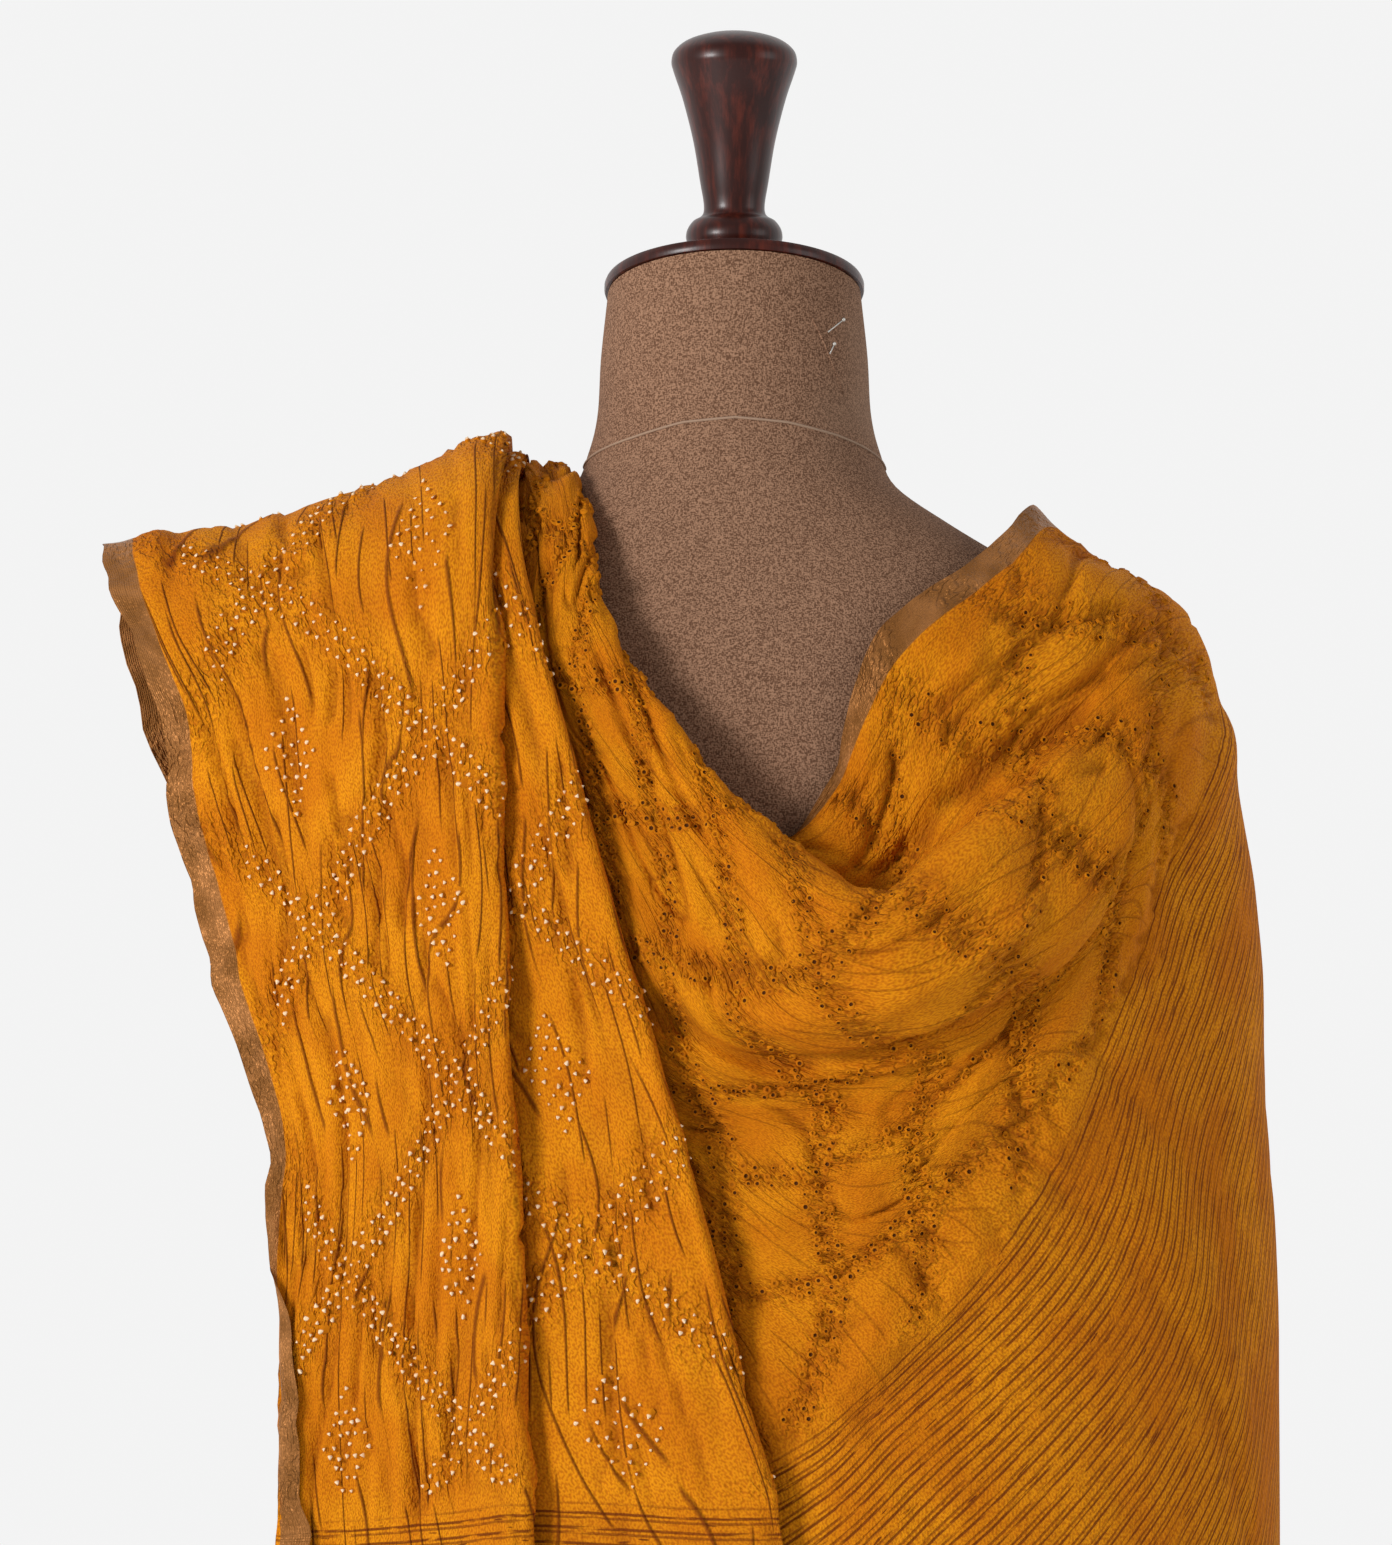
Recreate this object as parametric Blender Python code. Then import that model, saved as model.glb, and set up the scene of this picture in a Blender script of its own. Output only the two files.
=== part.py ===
"""Tie-dyed (bandhani) long cloth draped over the back of a tailor's dress form.

Metres, +Z up, origin under the middle of the stand's foot. The back of the form faces -Y.
The cloth is one sheet: its first end falls from the left shoulder, it loops over the front of
that shoulder, and its second end crosses the back to the right shoulder and the right side.
"""

import math

import bmesh
import bpy
import numpy as np
from mathutils import Vector
from mathutils.bvhtree import BVHTree

MM = 0.001

# The cloth as it is worn, with its tied crinkle left in.
CLOTH_WIDTH = 630
CLOTH_THICKNESS = 1.6
FALL_LENGTH = 810
WRAP_LENGTH = 810
LAYER_STEP = 5.0
LAYER_GAP = 4.5
CLOTH_CLEARANCE = 3.2
SETTLE = 1.9
SHOULDER_AXIS = 850

# The dress form and its stand.
RING_SIDES = 28
RING_STEPS = 24
CAP_TILT = math.radians(15)
CAP_RADIUS = 57
CAP_THICKNESS = 6
CAP_SHIFT = -1.5
FINIAL_FOOT = 1018
POST_RADIUS = 16
FOOT_RADIUS = 165
FOOT_HEIGHT = 24
PLATE_RADIUS = 60
PLATE_HEIGHT = 12
PIECE_GAP = 0.3
TORSO_BOTTOM = 312
NECK_TOP = 1012

# Rings of the form from the neck down: heights at side, back and front, then half width,
# depth of the back and depth of the front.
FORM_RINGS = (
    # side, back, front, half_width, back_depth, front_depth
    (NECK_TOP, NECK_TOP + 15, NECK_TOP - 14.2, 55.5, 56, 53),
    (985, 994, 966, 58.5, 57, 53),
    (960, 970, 932, 60, 58, 53),
    (943, 955, 905, 64, 61, 54),
    (928, 938, 884, 71, 66, 56),
    (912, 918, 864, 94, 72, 59),
    (896, 898, 844, 121, 79, 61),
    (879, 878, 824, 152, 86, 63),
    (864, 860, 806, 177, 92, 66),
    (845, 840, 788, 187, 97, 72),
    (812, 810, 765, 187, 103, 82),
    (765, 765, 738, 174, 107, 100),
    (700, 700, 695, 158, 106, 112),
    (640, 640, 640, 146, 98, 106),
    (590, 590, 590, 129, 88, 94),
    (545, 545, 545, 121, 82, 90),
    (490, 490, 490, 134, 92, 93),
    (420, 420, 420, 156, 109, 99),
    (350, 350, 350, 168, 118, 102),
    (TORSO_BOTTOM, TORSO_BOTTOM, TORSO_BOTTOM, 165, 116, 100),
)
BUST = {"side": 82, "height": 705, "spread": 50, "rise": 17}

# The envelope that the cloth hangs on: the form's back and front with the hollows bridged.
HANG_ROWS = (
    # height, reach, back_depth, front_depth
    (945, 66, 60, 52),
    (925, 84, 70, 56),
    (905, 118, 78, 60),
    (885, 158, 86, 64),
    (865, 190, 93, 70),
    (840, 203, 100, 78),
    (800, 214, 107, 92),
    (750, 223, 111, 112),
    (700, 226, 112, 126),
    (600, 230, 112, 124),
    (400, 230, 120, 114),
    (120, 232, 122, 112),
)
HANG_ROUNDNESS = 2.2

# The fall, by the distance down the cloth from the top of the shoulder. Each x is where a fold
# of the flattened pleats lies.
FALL_STOPS = (0, 18, 215, 330, 505, 630)
FALL_LAYERS = (3, 3, 3, 2, 1, 0)
FALL_ROWS = (
    # drop, selvedge, turn, first_edge, first_tuck, second_edge, second_tuck, flare
    (0, -278, -260, -97, -190, -87, -172, 0),
    (25, -276, -258, -98, -190, -88, -172, 3),
    (50, -272, -254, -98, -190, -89, -172, -4),
    (75, -264, -247, -98, -188, -87, -170, -5),
    (102, -258, -242, -98, -185, -83, -166, 4),
    (128, -244, -228, -98, -181, -77, -160, 7),
    (154, -243, -226, -98, -178, -69, -155, -5),
    (188, -236, -219, -98, -175, -60, -150, 5),
    (222, -226, -209, -97, -173, -50, -145, -5),
    (261, -218, -201, -95, -170, -40, -140, 5),
    (298, -202, -188, -94, -168, -28, -134, -3),
    (328, -198, -187, -93, -166, -20, -130, 3),
    (356, -194, -190, -92, -165, -12, -126, 2),
    (390, -185, -192, -90, -164, -3, -120, 0),
    (430, -180, -194, -88, -163, 7, -113, 0),
    (474, -178, -196, -83, -160, 20, -105, 0),
    (640, -178, -200, -78, -158, 34, -94, 0),
    (FALL_LENGTH, -182, -205, -72, -155, 47, -86, 0),
)
CURL_START, CURL_END = 285, 400
CURL_STEP = 6.0
CURL_LINES = (0, 13, 23, 38)
FALL_PROFILE = (
    # drop, depth behind the shoulder line, height lost
    (0, 0, 0),
    (25, 23, 3),
    (50, 44, 14),
    (75, 61, 30),
    (102, 73, 51),
    (154, 88, 100),
    (222, 100, 166),
    (328, 112, 271),
    (474, 118, 417),
    (FALL_LENGTH, 121, 753),
)
FALL_REACH = 330
CREST_LINE = (
    # x, height of the lowest layer of the fall where it goes over the shoulder
    (-280, 891),
    (-238, 895),
    (-196, 905),
    (-144, 912),
    (-114, 919),
    (-97, 924),
    (-70, 923),
)

# The loop over the front of the left shoulder, from the fall's side to the wrap's side. The
# flap is the strip beyond the last fold: how far it reaches from the fold, and how far it
# stands out from the sheet while it swings from one side of the fold to the other.
LOOP_LINES = (203, 227, 318, 342, 505, 630)
LOOP_LIFTS = (15, 12, 8, 5, 3.5, 0)
LOOP_OPENING = {"middle": -127, "share": 0.45}
LOOP_ROWS = (
    # depth in front, height lost, share of the wrap's arrangement, flap reach, flap stand
    (26, 8, 0.0, -85, 0),
    (50, 28, 0.03, -78, 0),
    (76, 62, 0.08, -62, -4),
    (103, 100, 0.14, -40, -7),
    (123, 145, 0.22, -16, -10),
    (142, 195, 0.3, 6, -10),
    (157, 240, 0.4, 22, -7),
    (159, 262, 0.45, 28, -4),
    (149, 274, 0.5, 30, 0),
    (135, 262, 0.55, 30, 0),
    (124, 240, 0.6, 28, 3),
    (110, 195, 0.7, 19, 6),
    (95, 145, 0.78, 7, 9),
    (80, 100, 0.85, -7, 11),
    (62, 62, 0.92, -19, 11),
    (41, 28, 0.97, -28, 8),
    (20, 8, 1.0, -34, 6),
)

# The wrap. Each column is one line along the cloth, counted from the upper selvedge, and each
# row one section across it. A place is (x, height, lift off the envelope), behind the form
# unless the row says how many of its first places have gone over to the front.
WRAP_LINES = (0, 50, 90, 125, 190, 270, 360, 460, 560, 630)
WRAP_ROWS = (
    # from_shoulder, places in front, (selvedge, inner, valley, ridge, roll, crease, ...)
    (45, 0, ((-78, 900, 3), (-72, 897, 4), (-66, 894, 7), (-62, 892, 14), (-76, 888, 18),
             (-92, 883, 16), (-112, 878, 13), (-133, 870, 10), (-155, 862, 8), (-180, 850, 6))),
    (110, 0, ((-62, 840, 4), (-52, 839, 6), (-45, 839, 10), (-41, 841, 20), (-58, 828, 22),
              (-76, 819, 18), (-99, 811, 14), (-125, 804, 11), (-152, 797, 9), (-176, 790, 7))),
    (170, 0, ((5, 772, 3), (0, 776, 11), (-1, 780, 21), (3, 786, 31), (-13, 769, 33),
              (-35, 754, 26), (-63, 742, 20), (-95, 732, 15), (-130, 724, 11), (-158, 718, 8))),
    (235, 0, ((49, 818, 3), (54, 784, 5), (58, 741, 9), (59, 749, 46), (39, 711, 50),
              (9, 690, 34), (-30, 678, 27), (-72, 670, 19), (-112, 664, 13), (-142, 660, 8))),
    (290, 0, ((68, 863, 3), (77, 819, 5), (89, 774, 10), (104, 778, 34), (99, 724, 47),
              (71, 685, 29), (19, 659, 32), (-34, 646, 24), (-84, 640, 16), (-122, 638, 9))),
    (340, 0, ((106, 893, 4), (118, 862, 5), (131, 825, 7), (142, 812, 16), (149, 756, 33),
              (110, 700, 26), (55, 640, 36), (6, 608, 30), (-55, 598, 19), (-102, 597, 10))),
    (390, 1, ((134, 902, 9), (155, 889, 9), (170, 872, 7), (181, 846, 8), (178, 791, 14),
              (148, 722, 20), (97, 649, 34), (47, 580, 35), (-30, 548, 23), (-86, 546, 12))),
    (450, 4, ((136, 847, 6), (168, 860, 7), (186, 862, 8), (202, 846, 6), (200, 776, 8),
              (170, 705, 14), (135, 621, 28), (68, 549, 34), (-9, 493, 25), (-75, 480, 13))),
    (570, 5, ((122, 738, 6), (158, 752, 8), (188, 757, 8), (212, 748, 7), (226, 735, 6),
              (220, 640, 7), (200, 543, 17), (130, 449, 27), (33, 382, 25), (-47, 362, 14))),
    (690, 6, ((112, 620, 8), (150, 636, 10), (184, 638, 10), (210, 628, 9), (229, 614, 8),
              (236, 548, 7), (226, 444, 11), (180, 343, 21), (74, 268, 23), (-10, 247, 14))),
    (WRAP_LENGTH, 6, ((106, 503, 10), (146, 516, 12), (184, 518, 12), (210, 508, 11),
                      (228, 496, 10), (239, 444, 10), (236, 334, 9), (208, 236, 15),
                      (118, 160, 21), (30, 136, 14))),
)
WRAP_CREST = (
    # the same lines over the shoulder: x, depth, height
    (-104, 1, 911), (-95, 1, 915), (-86, 0, 921), (-76, -1, 929), (-87, -2, 932),
    (-99, -1, 925), (-114, 0, 917), (-134, 0, 904), (-156, 0, 891), (-178, 0, 879),
)
GATHER_WAVE = {"length": 74, "height": 2.5, "gone_at": 200}

# Lines of the cloth's mesh, closer where it folds.
COLUMNS = (
    0, 13, 23, 38, 76, 116, 160, 203, 215, 227, 256, 287, 318, 330, 342, 378, 414, 446, 474, 505,
    528, 562, 596, 630,
)
ROW_SPACING = 31
ROW_SPACING_TURN = 16

LINEN = (0.30, 0.22, 0.165)
DARK_WOOD = (0.055, 0.02, 0.013)
MARIGOLD = (0.72, 0.30, 0.015)


def curve_through(stops, values, at):
    """Smooth curve through values at uneven stops, as a Hermite spline, read at each of at."""
    stops = np.asarray(stops, float)
    values = np.asarray(values, float)
    at = np.clip(np.asarray(at, float), stops[0], stops[-1])
    rises = np.diff(values, axis=0) / np.diff(stops).reshape((-1,) + (1,) * (values.ndim - 1))
    slopes = np.empty_like(values)
    slopes[0], slopes[-1] = rises[0], rises[-1]
    before = np.diff(stops)[:-1].reshape((-1,) + (1,) * (values.ndim - 1))
    after = np.diff(stops)[1:].reshape((-1,) + (1,) * (values.ndim - 1))
    slopes[1:-1] = (rises[:-1] * after + rises[1:] * before) / (before + after)
    index = np.clip(np.searchsorted(stops, at, side="right") - 1, 0, len(stops) - 2)
    step = (stops[index + 1] - stops[index]).reshape((-1,) + (1,) * (values.ndim - 1))
    t = ((at - stops[index]).reshape(step.shape)) / step
    low, high = values[index], values[index + 1]
    return (
        (2 * t**3 - 3 * t**2 + 1) * low
        + (t**3 - 2 * t**2 + t) * step * slopes[index]
        + (3 * t**2 - 2 * t**3) * high
        + (t**3 - t**2) * step * slopes[index + 1]
    )


def smooth_step(value, start, end):
    t = np.clip((value - start) / (end - start), 0, 1)
    return t * t * (3 - 2 * t)


def envelope_row(height):
    """Reach, back depth and front depth of the envelope at each height."""
    rows = np.array(HANG_ROWS, float)[::-1]
    return [np.interp(height, rows[:, 0], rows[:, k]) for k in (1, 2, 3)]


def bearing(x, height, lift, in_front):
    """Angle round the envelope of a place: 0 behind, a quarter turn at the right side."""
    reach, _, _ = envelope_row(height)
    share = min(1.0, abs(x) / (reach + lift)) ** (HANG_ROUNDNESS / 2)
    angle = math.copysign(math.asin(share), x)
    return math.pi - angle if in_front else angle


def on_envelope(places):
    """Points at (angle, height, lift) places outside the envelope."""
    angle, height, lift = np.moveaxis(places, -1, 0)
    reach, back, front = envelope_row(height)
    power = 2 / HANG_ROUNDNESS
    depth = np.where(np.cos(angle) > 0, -(back + lift), front + lift)
    x = (reach + lift) * np.sign(np.sin(angle)) * np.abs(np.sin(angle)) ** power
    return np.stack([x, depth * np.abs(np.cos(angle)) ** power, height], axis=-1)


def rounded(stops, values, at, softness=7.0):
    """Straight runs between stops with their corners rounded off."""
    offsets = np.linspace(-softness, softness, 7)
    return np.mean([np.interp(at + o, stops, values) for o in offsets], axis=0)


def layer_lift(columns):
    """How far out of the stack each line of the fall lies."""
    stops, levels = [FALL_STOPS[0]], [FALL_LAYERS[0]]
    for stop, level_before, level in zip(FALL_STOPS[1:-1], FALL_LAYERS[1:-1], FALL_LAYERS[2:]):
        stops += [stop - 1, stop + 1]
        levels += [level_before, level]
    stops.append(FALL_STOPS[-1])
    levels.append(FALL_LAYERS[-1])
    return rounded(stops, levels, columns) * LAYER_STEP


def crest_height(x):
    """Height at which the lowest layer of the fall goes over the shoulder."""
    rows = np.array(CREST_LINE, float)
    return np.interp(x, rows[:, 0], rows[:, 1])


def fall_section(drop, columns):
    """Points across the fall at one distance down from the shoulder, as one layer."""
    row = curve_through([r[0] for r in FALL_ROWS], [r[1:] for r in FALL_ROWS], [drop])[0]
    x = rounded(FALL_STOPS, row[:-1], columns)
    profile = np.array(FALL_PROFILE, float)
    depth, lost = curve_through(profile[:, 0], profile[:, 1:], [drop])[0]
    flare = row[-1] * np.clip(1 - columns / 60, 0, 1)
    round_off = (1 - np.abs(x / FALL_REACH) ** HANG_ROUNDNESS) ** (1 / HANG_ROUNDNESS)
    level = 1 - smooth_step(drop, 300, FALL_LENGTH)
    crest = crest_height(x) * level + crest_height(-150) * (1 - level)
    return np.stack([x, -(depth + flare) * round_off, crest - lost], axis=1)


def fall_lift(drop, columns):
    """How far each line of the fall lies out from its lowest layer."""
    curl = smooth_step(drop, CURL_START, CURL_END) * CURL_STEP
    loose = 0.9 + 0.45 * smooth_step(drop, 0, 100)
    curled = curl * np.interp(columns, CURL_LINES, (1, 0.85, 0.25, 0))
    return layer_lift(columns) * loose + curled


def gather_wave(columns, distance):
    """The shallow pleats into which the wrap is gathered at the shoulder."""
    height = GATHER_WAVE["height"] * (1 - smooth_step(distance, 0, GATHER_WAVE["gone_at"]))
    hidden = smooth_step(CLOTH_WIDTH - columns, 150, 220)
    return height * hidden * np.sin(2 * math.pi * columns / GATHER_WAVE["length"])


def crest_section(columns):
    """Points across the wrap where it goes over the left shoulder."""
    points = curve_through(WRAP_LINES, WRAP_CREST, CLOTH_WIDTH - columns)
    points[:, 2] += gather_wave(columns, 0) + GATHER_WAVE["height"]
    return points


def loop_section(row, columns):
    """Points across the loop in front of the left shoulder, as one layer."""
    depth, lost, share, flap_reach, _ = row
    fall_x = rounded(FALL_STOPS, FALL_ROWS[0][1:-1], columns)
    wrap = crest_section(columns)
    turned = smooth_step(share, 0.0, 0.44)
    opening = 1 + LOOP_OPENING["share"] * math.sin(math.pi * share)
    open_x = LOOP_OPENING["middle"] + (wrap[:, 0] - LOOP_OPENING["middle"]) * opening
    x = (1 - turned) * fall_x + turned * open_x
    fold = FALL_STOPS[-2]
    flap = np.clip((columns - fold) / (CLOTH_WIDTH - fold), 0, 1)
    x = np.where(flap > 0, np.interp(fold, columns, x) + flap * flap_reach, x)
    rise = smooth_step(share, 0.5, 1.0)
    crest = (1 - rise) * crest_height(x) + rise * wrap[:, 2]
    round_off = (1 - np.abs(x / FALL_REACH) ** HANG_ROUNDNESS) ** (1 / HANG_ROUNDNESS)
    return np.stack([x, depth * round_off, crest - lost], axis=1)


def loop_lift(row, columns):
    """How far each line of the loop lies out from its lowest layer."""
    share, flap_stand = row[2], row[4]
    fold = FALL_STOPS[-2]
    flap = np.clip((columns - fold) / (CLOTH_WIDTH - fold), 0, 1)
    stand = flap_stand * (flap + np.clip((columns - fold) / 14, 0, 1)) / 2
    sloped = np.interp(columns, LOOP_LINES, LOOP_LIFTS)
    slope_share = smooth_step(share, 0.0, 0.2)
    lift = (1 - slope_share) * layer_lift(columns) + slope_share * sloped
    return lift * (1 - smooth_step(share, 0.45, 0.95)) + stand


def wrap_sections(columns):
    """Sections of the wrap from the left shoulder to its hem."""
    stops = [row[0] for row in WRAP_ROWS]
    places = [
        [(bearing(x, z, lift, k < in_front), z, lift) for k, (x, z, lift) in enumerate(row)]
        for _, in_front, row in WRAP_ROWS
    ]
    distances = np.linspace(stops[0], stops[-1], 28)
    along = curve_through(stops, places, distances)
    found = []
    for distance, line in zip(distances, along):
        across = on_envelope(curve_through(WRAP_LINES, line, CLOTH_WIDTH - columns))
        across[:, 1] -= gather_wave(columns, distance)
        found.append(across)
    return found


def sections(columns):
    """All sections of the cloth from the hem of the fall to the hem of the wrap.

    Returned with the place of each along the cloth, the lift of each line out of its stack,
    and the numbers of the sections at the two crests and at the foot of the loop.
    """
    drops = np.concatenate([np.linspace(FALL_LENGTH, 160, 20), np.linspace(128, 0, 6)])
    fall = [fall_section(drop, columns) for drop in drops]
    loop = [loop_section(row, columns) for row in LOOP_ROWS]
    wrap = [crest_section(columns)] + wrap_sections(columns)
    lifts = [fall_lift(drop, columns) for drop in drops]
    lifts += [loop_lift(row, columns) for row in LOOP_ROWS]
    lifts += [columns * 0.0] * len(wrap)
    found = np.array(fall + loop + wrap)
    steps = np.linalg.norm(np.diff(found, axis=0), axis=2)
    lengths = np.concatenate([[0], np.cumsum(np.median(steps, axis=1))])
    turn = len(fall) + max(range(len(loop)), key=lambda k: LOOP_ROWS[k][1])
    return lengths, found, np.array(lifts), (len(fall) - 1, turn, len(fall) + len(loop))


def row_places(lengths, marks):
    """Distances along the cloth of the mesh's rows, closer together where it turns."""
    turns = [lengths[mark] for mark in marks] + [lengths[marks[2]] + 400]
    reaches = (60, 25, 50, 60)
    places = [0.0]
    while places[-1] < lengths[-1]:
        here = places[-1]
        tight = any(abs(here - turn) < reach for turn, reach in zip(turns, reaches))
        places.append(here + (ROW_SPACING_TURN if tight else ROW_SPACING))
    return np.array(places[:-1]) * lengths[-1] / places[-2]


def spread(values):
    """Each value raised to its neighbours' highest, then blurred over the grid."""
    rows, columns = values.shape
    for blend in (np.max,) * 2 + (np.mean,) * 6:
        padded = np.pad(values, 1, mode="edge")
        views = [padded[i : i + rows, j : j + columns] for i in range(3) for j in range(3)]
        values = blend(views, axis=0)
    return values


def axis_point(point):
    """The point of the shoulder's middle line that a place of the cloth hangs away from."""
    return Vector((point.x, 0, min(point.z, SHOULDER_AXIS * MM)))


def laid_over(grid, inner, clearance):
    """The grid moved outward until it clears what lies inside it.

    The amount is found on even steps across, so that all the layers of a pleat move alike.
    """
    steps = np.arange(grid[:, :, 0].min(), grid[:, :, 0].max() + 0.01, 0.01)
    short = np.zeros((len(grid), len(steps)))
    for i, row in enumerate(grid):
        order = np.argsort(row[:, 0])
        line = [np.interp(steps, row[order, 0], row[order, k]) for k in (1, 2)]
        for k, place in enumerate(zip(steps, *line)):
            point = Vector(place)
            middle = axis_point(point)
            away = (point - middle).normalized()
            hit = inner.ray_cast(middle + away * 0.5, -away, 0.5)[0]
            if hit is not None:
                gap = (point - middle).length - (hit - middle).length
                short[i, k] = max(0, clearance - gap)
    short = spread(short)
    result = grid.copy()
    for i, j in np.ndindex(grid.shape[:2]):
        point = Vector(grid[i, j])
        away = (point - axis_point(point)).normalized()
        result[i, j] = point + away * float(np.interp(point.x, steps, short[i]))
    return result


def stacked(grid, lifts):
    """The grid with each line moved out of the stack, square to the way the cloth runs."""
    run = np.gradient(grid, axis=0)
    run = run / np.linalg.norm(run[:, :, 1:], axis=2, keepdims=True)
    result = grid.copy()
    result[:, :, 1] -= run[:, :, 2] * lifts
    result[:, :, 2] += run[:, :, 1] * lifts
    return result


def clear_of(grid, tree, clearance):
    """The grid moved off the form wherever a point or a face's middle lies too close."""
    result = grid.copy()
    rows, columns = grid.shape[:2]
    for _ in range(14):
        push = np.zeros_like(result)
        for i in range(rows - 1):
            for j in range(columns - 1):
                corners = ((i, j), (i + 1, j), (i, j + 1), (i + 1, j + 1))
                tests = [result[c] for c in corners]
                tests += [(tests[0] + tests[3]) / 2, (tests[1] + tests[2]) / 2]
                tests += [(tests[0] + tests[1]) / 2, (tests[0] + tests[2]) / 2]
                for test in tests:
                    point = Vector(test)
                    near, normal, _, _ = tree.find_nearest(point)
                    gap = (point - near).dot(normal)
                    if gap < clearance and (point - near).length < 0.05:
                        wanted = np.array(normal) * (clearance - gap)
                        for c in corners:
                            if np.linalg.norm(wanted) > np.linalg.norm(push[c]):
                                push[c] = wanted
        result += push
        if not push.any():
            break
    return result


def grid_mesh(grid):
    """A sheet of quads over a grid of points."""
    rows, columns = grid.shape[:2]
    mesh = bmesh.new()
    bmesh.ops.create_grid(mesh, x_segments=columns - 1, y_segments=rows - 1, size=0.5)
    for vertex in mesh.verts:
        column = round((vertex.co.x + 0.5) * (columns - 1))
        row = round((vertex.co.y + 0.5) * (rows - 1))
        vertex.co = Vector(grid[row, column])
    return mesh


def cloth_grid(form, columns):
    """Points of the draped cloth in metres, laid over the form and over itself."""
    lengths, found, lifts, marks = sections(columns)
    places = row_places(lengths, marks)
    points = curve_through(lengths, found, places) * MM
    lifts = curve_through(lengths, lifts, places) * MM
    turn = int(np.searchsorted(places, lengths[marks[1]]))
    clearance = CLOTH_CLEARANCE * MM
    inside = clear_of(stacked(points, lifts)[turn:], form, clearance)
    under = grid_mesh(inside[2:])
    lowest = clear_of(points[:turn], form, clearance)
    lowest = laid_over(lowest, BVHTree.FromBMesh(under), LAYER_GAP * MM)
    under.free()
    whole = np.concatenate([lowest, points[turn:]])
    grid = np.concatenate([stacked(whole, lifts)[:turn], inside])
    grid[:, :, 2] -= SETTLE * MM
    return grid, places


def form_mesh():
    """The covered body of the form as one closed shell of stacked rings."""
    table = np.array(FORM_RINGS, float)
    rows = curve_through(range(len(table)), table, np.linspace(0, len(table) - 1, RING_STEPS))
    mesh = bmesh.new()
    loops = []
    for side, back, front, half_width, back_depth, front_depth in rows:
        ring = bmesh.ops.create_circle(mesh, segments=RING_SIDES, radius=1)["verts"]
        for vertex in ring:
            across, along = vertex.co.x, vertex.co.y
            depth = front_depth if along > 0 else back_depth
            far = front if along > 0 else back
            bend = 1 + min(1, (FORM_RINGS[0][0] - side) / 60)
            height = side + (far - side) * abs(along) ** bend
            x, y = half_width * across, depth * along
            if along > 0:
                away = ((abs(x) - BUST["side"]) ** 2 + (height - BUST["height"]) ** 2) ** 0.5
                y += BUST["rise"] * math.exp(-((away / BUST["spread"]) ** 2))
            vertex.co = Vector((x, y, height)) * MM
        loops.append([edge for edge in mesh.edges if all(v in ring for v in edge.verts)])
    for upper, lower in zip(loops, loops[1:]):
        bmesh.ops.bridge_loops(mesh, edges=upper + lower)
    bmesh.ops.holes_fill(mesh, edges=mesh.edges[:], sides=RING_SIDES)
    bmesh.ops.recalc_face_normals(mesh, faces=mesh.faces[:])
    return mesh


def turned_mesh(profile, sides):
    """A closed turned piece from (radius, height) pairs, first and last on the axis."""
    mesh = bmesh.new()
    points = [mesh.verts.new(Vector((radius, 0, height)) * MM) for radius, height in profile]
    edges = [mesh.edges.new(pair) for pair in zip(points, points[1:])]
    bmesh.ops.spin(
        mesh, geom=points + edges, cent=(0, 0, 0), axis=(0, 0, 1),
        angle=2 * math.pi, steps=sides, use_merge=True,
    )
    bmesh.ops.remove_doubles(mesh, verts=mesh.verts[:], dist=0.00001)
    bmesh.ops.recalc_face_normals(mesh, faces=mesh.faces[:])
    return mesh


def material(name, colour, roughness):
    made = bpy.data.materials.new(name)
    made.use_nodes = True
    shader = made.node_tree.nodes["Principled BSDF"]
    shader.inputs["Base Color"].default_value = (*colour, 1)
    shader.inputs["Roughness"].default_value = roughness
    shader.inputs["Metallic"].default_value = 0
    return made


def add_object(name, mesh, finish):
    data = bpy.data.meshes.new(name)
    mesh.to_mesh(data)
    mesh.free()
    data.materials.append(finish)
    made = bpy.data.objects.new(name, data)
    bpy.context.scene.collection.objects.link(made)
    data.shade_smooth()
    data.set_sharp_from_angle(angle=math.radians(50))
    return made


def add_cloth(form, finish):
    """The draped sheet as one solid of even thickness."""
    grid, _ = cloth_grid(form, np.array(COLUMNS, float))
    made = add_object("bandhani_cloth", grid_mesh(grid), finish)
    wall = made.modifiers.new("thickness", "SOLIDIFY")
    wall.thickness = CLOTH_THICKNESS * MM
    wall.offset = 0
    wall.use_rim = True
    return made


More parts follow.
